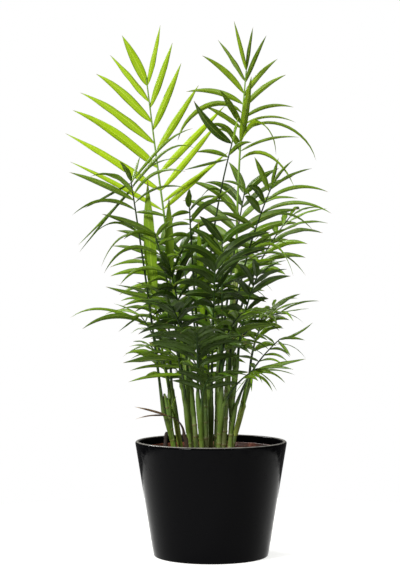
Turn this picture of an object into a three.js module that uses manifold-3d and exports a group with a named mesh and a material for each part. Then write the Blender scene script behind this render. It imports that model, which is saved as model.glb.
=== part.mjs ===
// A parlour palm in a glazed cachepot, in millimetres, +Z up, origin at the centre of the pot's foot.
//
// The cachepot holds a thin plastic nursery pot filled with potting mix. A clump of slim canes stands
// in the mix. Every cane carries feather fronds: a stalk that leaves the side of the cane, with
// leaflets in two rows along its upper part. Young fronds are still closed spears.
//
// Each frond is one solid: its leaflets grow out of its stalk. Fronds, canes and stalks keep a small
// clearance from each other. A stalk or leaflet that would touch what already stands there is turned,
// lifted or shortened by the smallest of a fixed list of nudges that sets it free.

import * as THREE from "three";
import Module from "manifold-3d";
import { mergeVertices } from "three/addons/utils/BufferGeometryUtils.js";

const wasm = await Module();
wasm.setup();

const { cos, sin, PI, pow, max, floor, hypot } = Math;
const V = (x, y, z) => new THREE.Vector3(x, y, z);
const UP = V(0, 0, 1);
const degrees = THREE.MathUtils.degToRad;
const mix = THREE.MathUtils.lerp;

// ---------------------------------------------------------------- driving sizes

const CLEARANCE = 0.35; // between neighbouring solids
const ROUND_SIDES = 32; // facets round each pot and the mix

const CACHEPOT = {
  height: 128,
  rimRadius: 85,
  footRadius: 64,
  wall: 4.6,
  floor: 7,
  footEase: 2, // small radius where the wall meets the flat foot
};

const NURSERY_POT = {
  rimBelowCachepot: 8,
  sideGap: 3.4, // between its rim band and the cachepot's inner wall
  wall: 1.3,
  bandHeight: 9,
  bandProud: 1.6,
  drainHoles: 6,
  drainHoleRadius: 4.5,
  drainCircleShare: 0.62, // of the floor's radius
};

const MIX = {
  belowNurseryRim: 3.2,
  crown: 2.4, // how much higher the middle is than the edge
  rootingDepth: 26, // how deep the canes stand in it
};

const STALK_SIDES = 4; // one side looks up, two carry the leaflets
const STALK_STEPS = 7;
const CANE_SIDES = 8;
const BLADE_THICKNESS = 0.8;
const PATH_STEPS = 12; // straight steps along a leaflet's midrib

// Where along a leaflet its cross-sections lie: a long one bends in two places, a short one in one.
const LONG_BLADE = { from: 80, stations: [0, 0.36, 0.7, 1] };
const SHORT_BLADE = { stations: [0, 0.42, 1] };

// Heights that follow from the pots.
const innerFloorZ = CACHEPOT.floor + CLEARANCE;
const nurseryRimZ = CACHEPOT.height - NURSERY_POT.rimBelowCachepot;
const mixEdgeZ = nurseryRimZ - MIX.belowNurseryRim;
const mixTopZ = mixEdgeZ + MIX.crown;

// ---------------------------------------------------------------- the canes
// foot: where the cane's axis leaves the mix. head: where it ends, measured from there.

const CANES = [
  { name: "cane_01", foot: [-41, -6], head: [-11, -5, 62], radius: 2.8 },
  { name: "cane_02", foot: [-34, 7], head: [-10, 4, 70], radius: 2.4 },
  { name: "cane_03", foot: [-24, -13], head: [-4, -7, 76], radius: 2.5 },
  { name: "cane_04", foot: [-16, 3], head: [-9, 5, 104], radius: 2.4 },
  { name: "cane_05", foot: [-10, -17], head: [-5, -8, 68], radius: 2.6 },
  { name: "cane_06", foot: [-5, 12], head: [-3, 8, 92], radius: 2.3 },
  { name: "cane_07", foot: [0, -5], head: [0, -5, 86], radius: 2.3 },
  { name: "cane_08", foot: [6, 24], head: [3, 14, 112], radius: 2.4 },
  { name: "cane_09", foot: [9, -15], head: [2, -9, 72], radius: 2.5 },
  { name: "cane_10", foot: [14, 3], head: [11, 2, 190], radius: 2.7 },
  { name: "cane_11", foot: [21, -9], head: [6, -6, 108], radius: 2.6 },
  { name: "cane_12", foot: [24, 10], head: [17, 5, 74], radius: 2.4 },
  { name: "cane_13", foot: [-20, 25], head: [-9, 13, 100], radius: 2.4 },
  { name: "cane_14", foot: [-2, 37], head: [-2, 18, 66], radius: 2.3 },
  { name: "dry_stub", foot: [-51, 8], head: [1, -1, 18], radius: 2.4, colour: "dry" },
];

// ---------------------------------------------------------------- the fronds
// cane: the cane that it grows from. at: height of its base above the mix. tip: the stalk's end, above
// the mix too. bow: how far the stalk arches above the straight line from base to tip. face: the way
// its upper side looks.
//
// Leaflets follow in one of two ways. A frond with leaves lists each of them as
// [share of the stalk where it grows, x, y, height of its point above the mix, width, rise of its
// middle above the straight line from root to point]. The others have rows at even steps:
// bare: share of the stalk with none. pairs: leaflets on each side. leaf: [length, width] of the
// longest. spread: angle between the lowest leaflets and the stalk. droop: how strongly leaflets hang
// at their points. vee: how far they lift off flat.

const FRONDS = [
  // Tall fronds, which reach above the rest.
  { name: "frond_left_tall", cane: "cane_01", at: 40, tip: [-88, -34, 296], bow: 0, face: [-0.4, -0.8, 0.5],
    leaves: [
      [0.78, -134, -60, 229, 4.5, 16], [0.8, -148, -10, 227, 3, 26], [0.82, -145, -30, 219, 3, 26],
      [0.87, -45, -62, 255, 4.5, 3], [0.88, -151, -50, 259, 5, 13], [0.9, -141, -12, 268, 3, 14],
      [0.91, -26, -36, 289, 3, 10], [0.92, -155, -42, 306, 6.5, 3], [0.94, -28, -52, 306, 3.5, 14],
      [0.95, -131, -62, 300, 8.5, 10], [0.97, -30, -10, 323, 3, 14], [0.98, -16, -30, 332, 3.5, 18],
      [0.99, -79, -4, 327, 3.5, 2], [1, -98, -78, 315, 7, 2], [1, -20, 0, 358, 3, 10],
    ] },
  { name: "frond_right_tall", cane: "cane_11", at: 70, tip: [67, -26, 292], bow: 26, face: [0.4, -0.8, 0.5],
    leaves: [
      [0.47, 62, -36, 165, 3, 7], [0.48, -10, -30, 178, 4.5, 4], [0.5, 67, -40, 176, 4.5, 9],
      [0.52, -22, -44, 180, 5, 5], [0.54, 73, -52, 208, 6.5, 8], [0.57, -14, -52, 236, 7, -3],
      [0.62, 103, -44, 193, 3, 17], [0.66, 89, -58, 192, 4.5, 22], [0.67, 88, -20, 226, 3, 9],
      [0.68, -18, -46, 228, 6.5, 5], [0.69, 93, -54, 247, 5, 2], [0.78, 8, -48, 262, 6, 4],
      [0.81, 113, -20, 243, 3, 15], [0.86, 131, -44, 261, 4.5, 12], [0.86, 36, -60, 279, 8, 4],
      [0.91, 38, -66, 288, 7, 8], [0.92, 129, -30, 285, 4.5, 11], [0.97, 47, -50, 322, 6.5, 2],
      [0.98, 110, -44, 310, 4.5, 4], [1, 90, -30, 320, 3.5, 3], [1, 75, -10, 324, 4.5, 1],
    ] },
  { name: "frond_left_crown", cane: "cane_04", at: 96, tip: [-74, 48, 421], bow: -6, face: [0, -1, 0.1],
    colour: "youngLeaf",
    leaves: [
      [0.53, -160, 34, 323, 5.5, 2], [0.535, 20, 30, 334, 6.5, 2], [0.56, 6, 26, 321, 5, 1],
      [0.6, -166, 40, 356, 9, 3], [0.6, 8, 38, 368, 7.5, 0], [0.66, 16, 44, 388, 8, 0],
      [0.68, -158, 46, 383, 10, 6], [0.735, -14, 48, 412, 8, 0], [0.765, -150, 52, 404, 10, 6],
      [0.81, -34, 54, 438, 8, 0], [0.84, -132, 56, 426, 9, 5], [0.89, -44, 56, 462, 7.5, 0],
      [0.91, -116, 58, 448, 8, 3], [0.97, -102, 54, 470, 6.5, 2], [0.97, -58, 54, 482, 6.5, 0],
    ] },
  { name: "frond_right_crown", cane: "cane_10", at: 182, tip: [40, 20, 425], bow: 6, face: [0.2, -0.9, 0.5],
    leaves: [
      [0.58, 88, -30, 279, 4.5, 24], [0.62, 99, 0, 348, 3.5, 7], [0.62, -2, -16, 361, 6, 13],
      [0.66, 70, -58, 324, 6.5, 30], [0.66, 44, -40, 411, 8, 0], [0.66, 4, 8, 358, 3.5, 6],
      [0.7, 118, 10, 323, 3.5, 28], [0.73, -8, 6, 384, 6.5, 3], [0.74, 96, 24, 367, 3, 9],
      [0.75, 10, -22, 398, 8, 2], [0.77, 92, -14, 380, 4.5, 8], [0.8, -37, -6, 344, 6, 26],
      [0.82, 84, 0, 418, 6, 6], [0.84, -28, 26, 402, 6.5, 8], [0.88, 76, 30, 440, 6, 5],
      [0.89, -10, 4, 440, 6.5, 6], [0.94, 62, 0, 462, 5, 3], [0.95, 8, 34, 462, 6, 4],
      [1, 48, 30, 476, 4.5, 1], [1, 26, 12, 480, 4.5, 1],
    ] },
  { name: "frond_centre_tall", cane: "cane_07", at: 74, tip: [23, -24, 339], bow: 28, face: [-0.2, -0.9, 0.5],
    leaves: [
      [0.8, -14, -52, 272, 3.5, 8], [0.84, 47, -30, 272, 3.5, 9], [0.89, -30, -34, 309, 3, 6],
      [0.94, -17, -40, 328, 5, 4], [0.95, 44, -50, 338, 5, 5], [1, -19, -62, 382, 9.5, -7],
      [1, 30, -6, 370, 4.5, 3],
    ] },
  { name: "frond_left_arching", cane: "cane_03", at: 70, tip: [-62, -30, 239], bow: 8, face: [-0.2, -0.8, 0.6],
    leaves: [
      [0.57, -66, -52, 168, 3, 6], [0.63, -20, -50, 188, 3, 4], [0.69, -70, -60, 183, 3, 4],
      [0.73, -26, -52, 202, 3.5, 4], [0.75, -100, -36, 183, 4.5, 11], [0.83, -34, -50, 214, 3.5, 3],
      [0.86, -117, -42, 196, 5, 18], [0.92, -122, -16, 203, 3, 25], [0.92, -36, -40, 232, 4.5, 4],
      [0.97, -95, -60, 232, 5, 8], [0.98, -44, -52, 252, 5, 3], [1, -119, -48, 260, 6.5, 2],
    ] },
  { name: "frond_middle_tall", cane: "cane_06", at: 84, tip: [-24, -8, 269], bow: -8, face: [0.1, -0.8, 0.7],
    leaves: [
      [0.7, -6, -52, 206, 5, 3], [0.75, -48, -30, 205, 4.5, 4], [0.77, 22, -46, 222, 6, 8],
      [0.82, 32, -50, 256, 7, 6], [0.83, -50, -48, 226, 5, 4], [0.86, 34, -24, 252, 6.5, 8],
      [0.9, -52, -20, 242, 4.5, 5], [0.91, 32, -40, 258, 7, 16], [0.94, 27, -30, 291, 4.5, 2],
      [0.97, -46, -44, 255, 5, 3], [0.98, 12, -14, 279, 3.5, 9], [1, -24, -40, 288, 8.5, 0],
    ] },
  { name: "frond_back_tall", cane: "cane_08", at: 100, tip: [40, 92, 292], bow: 6,
    face: [-0.3, -1, 0.5], bare: 0.5, pairs: 7, leaf: [84, 9.5], spread: 64, droop: 0.9, vee: 12 },
  { name: "frond_back_left_tall", cane: "cane_13", at: 92, tip: [-58, 108, 232], bow: 8,
    face: [0.2, -1, 0.6], bare: 0.48, pairs: 7, leaf: [78, 8.5], spread: 66, droop: 1.02, vee: 12 },

  // Fronds of middle height.
  { name: "frond_middle_dark", cane: "cane_09", at: 66, tip: [12, -34, 232], bow: -6,
    face: [0.3, -1, 0.7], bare: 0.62, pairs: 5, leaf: [66, 9.5], spread: 70, droop: 0.72, vee: 16 },
  { name: "frond_middle_back", cane: "cane_06", at: 62, tip: [-36, 62, 222], bow: 10,
    face: [0, -1, 0.9], bare: 0.5, pairs: 7, leaf: [70, 8.5], spread: 66, droop: 0.96, vee: 12 },
  { name: "frond_right_back_tall", cane: "cane_10", at: 130, tip: [92, 58, 262], bow: 18,
    face: [-0.5, -0.5, 1], bare: 0.46, pairs: 7, leaf: [68, 8], spread: 66, droop: 1.02, vee: 12 },
  { name: "frond_middle_front", cane: "cane_07", at: 50, tip: [4, -62, 199], bow: 12,
    face: [0, -0.4, 1], bare: 0.46, pairs: 7, leaf: [64, 8], spread: 66, droop: 0.96, vee: 14 },
  { name: "frond_middle_right", cane: "cane_11", at: 92, tip: [50, -58, 193], bow: 14,
    face: [0.2, -0.4, 1], bare: 0.44, pairs: 6, leaf: [56, 8], spread: 64, droop: 0.96, vee: 14 },
  { name: "frond_middle_left", cane: "cane_04", at: 70, tip: [-46, -40, 205], bow: 10,
    face: [0, -0.6, 1], bare: 0.5, pairs: 6, leaf: [54, 8], spread: 64, droop: 0.84, vee: 14 },

  // Low fronds, left, right, in front and behind.
  { name: "frond_left_low", cane: "cane_01", at: 58, tip: [-78, -22, 149], bow: 10, face: [-0.3, -0.6, 0.9],
    leaves: [
      [0.8, -90, 10, 128, 4.5, 5], [0.86, -154, -40, 147, 4.5, 14], [0.9, -140, -56, 135, 6, 11],
      [0.9, -60, -58, 156, 4.5, 4], [0.94, -101, -50, 132, 3, 4], [0.97, -109, 0, 162, 3, 3],
      [1, -118, -10, 150, 3.5, 6],
    ] },
  { name: "frond_left_level", cane: "cane_02", at: 62, tip: [-48, -16, 169], bow: -4, face: [-0.3, -0.6, 0.9],
    leaves: [
      [0.82, -84, 6, 156, 4.5, 6], [0.9, -30, -56, 176, 6, 4], [0.94, -80, -64, 180, 10, 8],
      [0.98, -116, -30, 181, 6, -2], [1, -106, -6, 183, 3.5, 1], [1, -82, -44, 186, 5, 2],
    ] },
  { name: "frond_left_broad", cane: "cane_03", at: 52, tip: [-36, -40, 103], bow: 6, face: [-0.2, -0.7, 0.9],
    leaves: [
      [0.6, -91, -30, 76, 4.5, 3], [0.75, -89, -40, 89, 4.5, 4], [0.85, -20, -84, 96, 6, 4],
      [0.9, -84, -72, 110, 3.5, 2], [0.95, -96, -52, 98, 9.5, 2], [0.97, -87, -60, 103, 3.5, 8],
      [1, -97, -28, 104, 3, 14],
    ] },
  { name: "frond_right_upper_low", cane: "cane_10", at: 111, tip: [76, -12, 152], bow: 12,
    face: [0.2, -0.6, 0.9],
    leaves: [
      [0.4, 40, -42, 168, 6.5, 2], [0.55, 46, -46, 150, 6, 4], [0.6, 66, 22, 156, 4.5, 5],
      [0.65, 62, -44, 146, 5, 5], [0.8, 72, -48, 138, 4.5, 5], [0.8, 84, 26, 150, 4.5, 5],
      [0.9, 104, 8, 140, 3, 6], [0.97, 90, -40, 143, 3, 6], [1, 108, -34, 157, 4.5, 1],
      [1, 120, -20, 165, 3, 5],
    ] },
  { name: "frond_right_fan", cane: "cane_11", at: 52, tip: [76, -36, 124], bow: 10, face: [-0.2, -0.9, 0.8],
    leaves: [
      [0.6, 78, -54, 96, 3, 5], [0.6, 20, -56, 104, 4.5, 3], [0.7, 84, -46, 98, 3, 5],
      [0.7, 28, -60, 112, 4.5, 3], [0.8, 86, -40, 104, 3, 5], [0.8, 36, -62, 122, 4.5, 3],
      [0.9, 105, -20, 101, 3, 7], [0.9, 46, -60, 130, 4.5, 3], [0.96, 86, -52, 106, 3.5, 1],
      [0.98, 111, -44, 142, 3.5, -3], [1, 103, -30, 122, 3.5, 2],
    ] },
  { name: "frond_right_broad", cane: "cane_09", at: 52, tip: [50, -52, 92], bow: 8, face: [0, -0.7, 0.9],
    leaves: [
      [0.65, 50, -84, 80, 4.5, 4], [0.7, 70, -24, 84, 4.5, 4], [0.8, 64, -84, 88, 4.5, 4],
      [0.85, 92, -36, 84, 3.5, 5], [0.95, 103, -60, 96, 6, 1], [0.95, 40, -92, 98, 5, 3],
      [1, 88, -74, 92, 4.5, 3],
    ] },
  { name: "frond_right_drooping", cane: "cane_12", at: 46, tip: [46, -8, 88], bow: 8, face: [0, -0.5, 1],
    leaves: [
      [0.8, 30, -30, 56, 3.5, 3], [0.85, 70, 24, 62, 3.5, 7], [0.9, 44, -40, 70, 3.5, 3],
      [0.95, 84, 14, 72, 3.5, 7], [0.97, 56, -36, 75, 3.5, 4], [1, 73, -16, 65, 3.5, 6],
    ] },
  { name: "frond_front_low", cane: "cane_05", at: 60, tip: [-16, -74, 131], bow: 22,
    face: [0, 0.3, 1], bare: 0.38, pairs: 7, leaf: [60, 8], spread: 66, droop: 0.96, vee: 14 },
  { name: "frond_front_left", cane: "cane_03", at: 68, tip: [-44, -64, 161], bow: 18,
    face: [0.2, 0.2, 1], bare: 0.42, pairs: 6, leaf: [54, 8], spread: 64, droop: 0.84, vee: 14 },
  { name: "frond_front_right", cane: "cane_09", at: 68, tip: [30, -72, 153], bow: 20,
    face: [-0.2, 0.2, 1], bare: 0.38, pairs: 7, leaf: [56, 8], spread: 66, droop: 0.96, vee: 14 },
  { name: "frond_front_centre", cane: "cane_05", at: 44, tip: [4, -66, 87], bow: 20,
    face: [0, 0.2, 1], bare: 0.4, pairs: 5, leaf: [50, 8], spread: 62, droop: 0.84, vee: 12 },
  { name: "frond_back_low", cane: "cane_14", at: 58, tip: [2, 112, 143], bow: 24,
    face: [0, -0.2, 1], bare: 0.34, pairs: 7, leaf: [62, 8], spread: 66, droop: 1.02, vee: 12 },
  { name: "frond_back_centre", cane: "cane_14", at: 44, tip: [-30, 92, 107], bow: 20,
    face: [0.2, -0.2, 1], bare: 0.36, pairs: 6, leaf: [54, 8], spread: 64, droop: 0.96, vee: 12 },
  { name: "frond_back_left_low", cane: "cane_13", at: 70, tip: [-66, 80, 167], bow: 22,
    face: [0.2, -0.2, 1], bare: 0.38, pairs: 6, leaf: [56, 8], spread: 64, droop: 1.02, vee: 12 },
  { name: "frond_back_right_low", cane: "cane_08", at: 74, tip: [50, 86, 151], bow: 24,
    face: [-0.2, -0.2, 1], bare: 0.36, pairs: 6, leaf: [56, 8], spread: 64, droop: 1.02, vee: 12 },
  { name: "frond_back_right", cane: "cane_08", at: 87, tip: [20, 104, 231], bow: 20,
    face: [-0.1, -0.3, 1], bare: 0.42, pairs: 7, leaf: [62, 8.5], spread: 64, droop: 0.96, vee: 12 },
  { name: "frond_right_low", cane: "cane_12", at: 70, tip: [72, 50, 158], bow: 22,
    face: [-0.3, -0.1, 1], bare: 0.38, pairs: 6, leaf: [52, 7], spread: 64, droop: 1.02, vee: 12 },
  { name: "frond_left_back_low", cane: "cane_02", at: 46, tip: [-68, 46, 112], bow: 16,
    face: [0.3, -0.1, 1], bare: 0.4, pairs: 5, leaf: [44, 6.5], spread: 64, droop: 1.02, vee: 12 },
  { name: "frond_young_shoot", cane: "cane_02", at: 30, tip: [-44, -10, 46], bow: 0, face: [0.3, -0.8, 0.8],
    colour: "youngLeaf",
    leaves: [[0.9, -52, -8, 54, 3, 0], [0.95, -38, -22, 60, 3, 1], [1, -49, -16, 62, 3.5, 0]] },

  // A dead frond: a bent stalk with shrivelled leaflets.
  { name: "dry_frond", cane: "cane_03", at: 16, tip: [-47, -22, 38], bow: 8, face: [0, -1, 0.6],
    colour: "dry",
    leaves: [[0.97, -84, -16, 34, 2.4, 3], [1, -84, -34, 49, 2.6, 1]] },
];

// Young fronds, still closed: a stalk that swells into a folded blade with a long point.
const SPEARS = [
  { name: "spear_left", cane: "cane_02", at: 68, tip: [-70, -26, 297], bow: -22, blade: 130, width: 14 },
  { name: "spear_middle", cane: "cane_04", at: 102, tip: [-47, -2, 279], bow: -14, blade: 80, width: 10 },
  { name: "spear_centre", cane: "cane_07", at: 84, tip: [-14, -12, 253], bow: -4, blade: 110, width: 8 },
];

// ---------------------------------------------------------------- closed surfaces

function solidFrom(geometry) {
  const bare = geometry.clone();
  bare.deleteAttribute("normal");
  bare.deleteAttribute("uv");
  const merged = mergeVertices(bare, 1e-4);
  return new wasm.Manifold(
    new wasm.Mesh({
      numProp: 3,
      vertProperties: new Float32Array(merged.attributes.position.array),
      triVerts: new Uint32Array(merged.index.array),
    }),
  );
}

function geometryFrom(solid) {
  const mesh = solid.getMesh();
  const positions = new Float32Array(mesh.numVert * 3);
  for (let i = 0; i < mesh.numVert; i++) {
    positions.set(mesh.vertProperties.subarray(i * mesh.numProp, i * mesh.numProp + 3), i * 3);
  }
  const geometry = new THREE.BufferGeometry();
  geometry.setAttribute("position", new THREE.BufferAttribute(positions, 3));
  geometry.setIndex(new THREE.BufferAttribute(new Uint32Array(mesh.triVerts), 1));
  geometry.computeVertexNormals();
  return geometry;
}

// Skins closed rings of equally many points, in order, and caps both ends. A ring of one point is a tip.
function loft(rings) {
  const points = [];
  const faces = [];
  const starts = rings.map((ring) => points.push(...ring) - ring.length);
  const sides = rings[0].length;
  for (let k = 0; k + 1 < rings.length; k++) {
    for (let i = 0; i < sides; i++) {
      const j = (i + 1) % sides;
      if (rings[k + 1].length === 1) {
        faces.push(starts[k] + i, starts[k] + j, starts[k + 1]);
      } else {
        faces.push(starts[k] + i, starts[k] + j, starts[k + 1] + j);
        faces.push(starts[k] + i, starts[k + 1] + j, starts[k + 1] + i);
      }
    }
  }
  for (let i = 1; i + 1 < sides; i++) {
    faces.push(0, i + 1, i);
    const last = starts[rings.length - 1];
    if (rings.at(-1).length > 1) faces.push(last, last + i, last + i + 1);
  }
  const geometry = new THREE.BufferGeometry().setFromPoints(points);
  geometry.setIndex(faces);
  return geometry;
}

// A closed sweep along a curve. sectionAt gives the corners of the ring at t as pairs: how far each lies
// across and how far out of the upper side. Rings follow the curve untwisted back from endAcross.
function swept(curve, sectionAt, stations, endAcross) {
  let across = endAcross;
  const rings = stations.toReversed().map((t) => {
    const centre = curve.getPoint(t);
    const along = curve.getTangent(t);
    across = across.clone().addScaledVector(along, -across.dot(along)).normalize();
    const other = along.clone().cross(across);
    return sectionAt(t).map(([u, v]) => centre.clone().addScaledVector(across, u).addScaledVector(other, v));
  });
  return solidFrom(loft(rings.toReversed()));
}

// The corners of a regular section, half a side off the direction across.
function regular(radius, sides) {
  return Array.from({ length: sides }, (_, i) => {
    const turn = (2 * PI * (i + 0.5)) / sides;
    return [radius * cos(turn), radius * sin(turn)];
  });
}

const evenly = (count) => Array.from({ length: count + 1 }, (_, i) => i / count);

function turned(profile) {
  const points = profile.map(([radius, z]) => new THREE.Vector2(radius, z));
  return new THREE.LatheGeometry(points, ROUND_SIDES).rotateX(PI / 2);
}

// ---------------------------------------------------------------- pots and mix

function outerRadius(z) {
  return mix(CACHEPOT.footRadius, CACHEPOT.rimRadius, z / CACHEPOT.height);
}

function cachepotGeometry() {
  const { height, wall, footRadius, footEase } = CACHEPOT;
  const lip = wall / 2;
  const crest = height - lip;
  const middle = outerRadius(crest) - lip;
  const lipArc = [30, 60, 90, 120, 150].map((angle) => [
    middle + lip * cos(degrees(angle)),
    crest + lip * sin(degrees(angle)),
  ]);
  const coveZ = CACHEPOT.floor + footEase * 2;
  return turned([
    [0, 0],
    [footRadius - footEase, 0],
    [outerRadius(footEase), footEase],
    [outerRadius(crest), crest],
    ...lipArc,
    [outerRadius(crest) - wall, crest],
    [outerRadius(coveZ) - wall, coveZ],
    [outerRadius(CACHEPOT.floor) - wall - footEase * 2, CACHEPOT.floor],
    [0, CACHEPOT.floor],
  ]);
}

// Outer radius of the nursery pot below its rim band, at height z.
function nurseryRadius(z) {
  const { sideGap, bandProud } = NURSERY_POT;
  return outerRadius(z) - CACHEPOT.wall - sideGap - bandProud;
}

function nurseryPotSolid() {
  const { wall, bandHeight, bandProud, drainHoles, drainHoleRadius, drainCircleShare } = NURSERY_POT;
  const bandZ = nurseryRimZ - bandHeight;
  const footZ = innerFloorZ;
  const shell = solidFrom(
    turned([
      [0, footZ],
      [nurseryRadius(footZ) - bandProud, footZ],
      [nurseryRadius(bandZ), bandZ],
      [nurseryRadius(bandZ) + bandProud, bandZ],
      [nurseryRadius(nurseryRimZ) + bandProud, nurseryRimZ],
      [nurseryRadius(nurseryRimZ) + bandProud - wall, nurseryRimZ],
      [nurseryRadius(bandZ) - wall + bandProud, bandZ + wall],
      [nurseryRadius(bandZ) - wall, bandZ],
      [nurseryRadius(footZ + wall) - bandProud - wall, footZ + wall],
      [0, footZ + wall],
    ]),
  );
  const circle = nurseryRadius(footZ) * drainCircleShare;
  let holed = shell;
  for (let i = 0; i < drainHoles; i++) {
    const turn = (2 * PI * i) / drainHoles;
    const hole = new THREE.CylinderGeometry(drainHoleRadius, drainHoleRadius, wall * 4, 8)
      .rotateX(PI / 2)
      .translate(circle * cos(turn), circle * sin(turn), footZ + wall / 2);
    holed = holed.subtract(solidFrom(hole));
  }
  return holed;
}

function mixSolid(canes) {
  const { wall, bandHeight, bandProud } = NURSERY_POT;
  const inset = wall + CLEARANCE;
  const bandZ = nurseryRimZ - bandHeight;
  const lowZ = innerFloorZ + wall + CLEARANCE;
  const body = solidFrom(
    turned([
      [0, lowZ],
      [nurseryRadius(lowZ) - bandProud - inset, lowZ],
      [nurseryRadius(bandZ) - inset, bandZ],
      [nurseryRadius(bandZ) - inset, mixEdgeZ],
      [nurseryRadius(bandZ) * 0.6, mix(mixEdgeZ, mixTopZ, 0.75)],
      [0, mixTopZ],
    ]),
  );
  return canes.reduce((rest, cane) => rest.subtract(caneSolid(cane, CLEARANCE)), body);
}

// ---------------------------------------------------------------- canes

// The cane's axis above the mix, a straight line from foot to head, carried down to its roots.
function caneAxis(cane) {
  const foot = V(cane.foot[0], cane.foot[1], mixTopZ);
  const head = foot.clone().add(V(...cane.head));
  const root = foot.clone().lerp(head, -MIX.rootingDepth / cane.head[2]);
  return new THREE.LineCurve3(root, head);
}

function canePointAt(cane, height) {
  const foot = V(cane.foot[0], cane.foot[1], mixTopZ);
  return foot.addScaledVector(V(...cane.head), height / cane.head[2]);
}

function caneSolid(cane, grown = 0) {
  const sectionAt = (t) => regular(mix(cane.radius * 1.12, cane.radius * 0.85, t) + grown, CANE_SIDES);
  return swept(caneAxis(cane), sectionAt, evenly(2), V(1, 0, 0));
}

// ---------------------------------------------------------------- stalks

const STALK = { baseRadius: 2.3, neckRadius: 1.5, tipRadius: 0.75, neckAt: 0.12 };

function stalkRadius(t) {
  if (t < STALK.neckAt) return mix(STALK.baseRadius, STALK.neckRadius, t / STALK.neckAt);
  return mix(STALK.neckRadius, STALK.tipRadius, (t - STALK.neckAt) / (1 - STALK.neckAt));
}

// The stalk's centreline: an arch from beside its cane to its tip. The nudge slides its base along the
// cane, turns it about that base and raises or lowers the arch.
function stalkCurve(frond, nudge) {
  const cane = CANES.find((one) => one.name === frond.cane);
  const axis = canePointAt(cane, frond.at + nudge.slide);
  const reach = V(...frond.tip).addScaledVector(UP, mixTopZ).sub(axis);
  reach.applyAxisAngle(UP, degrees(nudge.turn));
  const tip = axis.clone().add(reach);
  const along = reach.clone().normalize();
  const above = UP.clone().addScaledVector(along, -along.z).normalize();
  const shoulder = axis.clone().lerp(tip, 0.5);
  shoulder.addScaledVector(above, frond.bow + nudge.bow);
  const outward = shoulder.clone().sub(axis).setZ(0).normalize();
  const offset = cane.radius * 1.1 + STALK.baseRadius + CLEARANCE;
  return new THREE.QuadraticBezierCurve3(axis.clone().addScaledVector(outward, offset), shoulder, tip);
}

function stalkSolid(frond, curve) {
  const sectionAt = (t) => regular(stalkRadius(t), STALK_SIDES);
  return swept(curve, sectionAt, evenly(STALK_STEPS), frondFrame(frond, curve, 1).across);
}

// A young frond, still closed: its stalk widens into a flat folded blade that narrows to a point.
function spearSolid(spear, curve) {
  const bladeFrom = 1 - spear.blade / curve.getLength();
  const stations = [0, 0.12, bladeFrom, ...[0.14, 0.4, 0.7, 1].map((t) => mix(bladeFrom, 1, t))];
  const sectionAt = (t) => {
    if (t === 1) return [[0, 0]];
    const grown = max(0, (t - bladeFrom) / (1 - bladeFrom));
    const half = mix(stalkRadius(t), spear.width / 2, grown > 0 ? bladeShape(grown) : 0);
    const thick = stalkRadius(t);
    return [[half, 0], [0, thick], [-half, 0], [0, -thick]];
  };
  return swept(curve, sectionAt, stations, V(1, 0, 0));
}

const STALK_NUDGES = [0, 4, -4, 8, -8, 12, -12, 17, -17, 23, -23]
  .flatMap((turn) => [0, 8, -8, 16].flatMap((bow) => [0, -7, -14].map((slide) => ({ turn, bow, slide }))))
  .sort((a, b) => hypot(a.turn, a.bow, a.slide) - hypot(b.turn, b.bow, b.slide));

// ---------------------------------------------------------------- leaflets

// A fixed number in [-1, 1] for each pair of whole numbers.
function wobble(i, j) {
  const s = sin(i * 12.9898 + j * 78.233) * 437.585;
  return 2 * (s - floor(s)) - 1;
}

// Half the blade's width at t, as a share of its greatest half width.
const BLADE_RISE = 0.62;
const BLADE_FALL = 0.95;
const BLADE_ROOT = 0.1; // its share at the root
const widestAt = BLADE_RISE / (BLADE_RISE + BLADE_FALL);
const widestValue = pow(widestAt, BLADE_RISE) * pow(1 - widestAt, BLADE_FALL);

function bladeShape(t) {
  return max((pow(t, BLADE_RISE) * pow(1 - t, BLADE_FALL)) / widestValue, t < 0.5 ? BLADE_ROOT : 0);
}

// The frond's own directions at a place on its stalk: along it, out of its upper side, and across it.
function frondFrame(frond, curve, place) {
  const along = curve.getTangent(place);
  const face = V(...frond.face);
  const upper = face.addScaledVector(along, -face.dot(along)).normalize();
  return { along, upper, across: upper.clone().cross(along) };
}

const HOOK = 0.62; // how near its point a listed leaflet bends most, as a share of its reach

// A leaflet is its width and the points of its midrib, from its root on the stalk to its point, with
// the blade's width direction at each.
function leafletFrom(points, across, width) {
  const widths = [across];
  for (let k = 1; k < points.length; k++) {
    const heading = points[k].clone().sub(points[k - 1]).normalize();
    widths.push(widths[k - 1].clone().addScaledVector(heading, -widths[k - 1].dot(heading)).normalize());
  }
  return { points, widths, width };
}

// A leaflet that is listed, as an even arc over the line from its root to its point.
function listedLeaflet(frond, stalk, [place, x, y, height, width, rise], seed) {
  const root = stalk.getPoint(place);
  const tip = V(x, y, mixTopZ + height);
  const arc = new THREE.QuadraticBezierCurve3(root, root.clone().lerp(tip, HOOK).addScaledVector(UP, 2 * rise), tip);
  const start = arc.getTangent(0);
  const { upper } = frondFrame(frond, stalk, place);
  const across = upper.cross(start).normalize().applyAxisAngle(start, degrees(24 * wobble(seed, 5)));
  return leafletFrom(arc.getPoints(PATH_STEPS), across, width);
}

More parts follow.
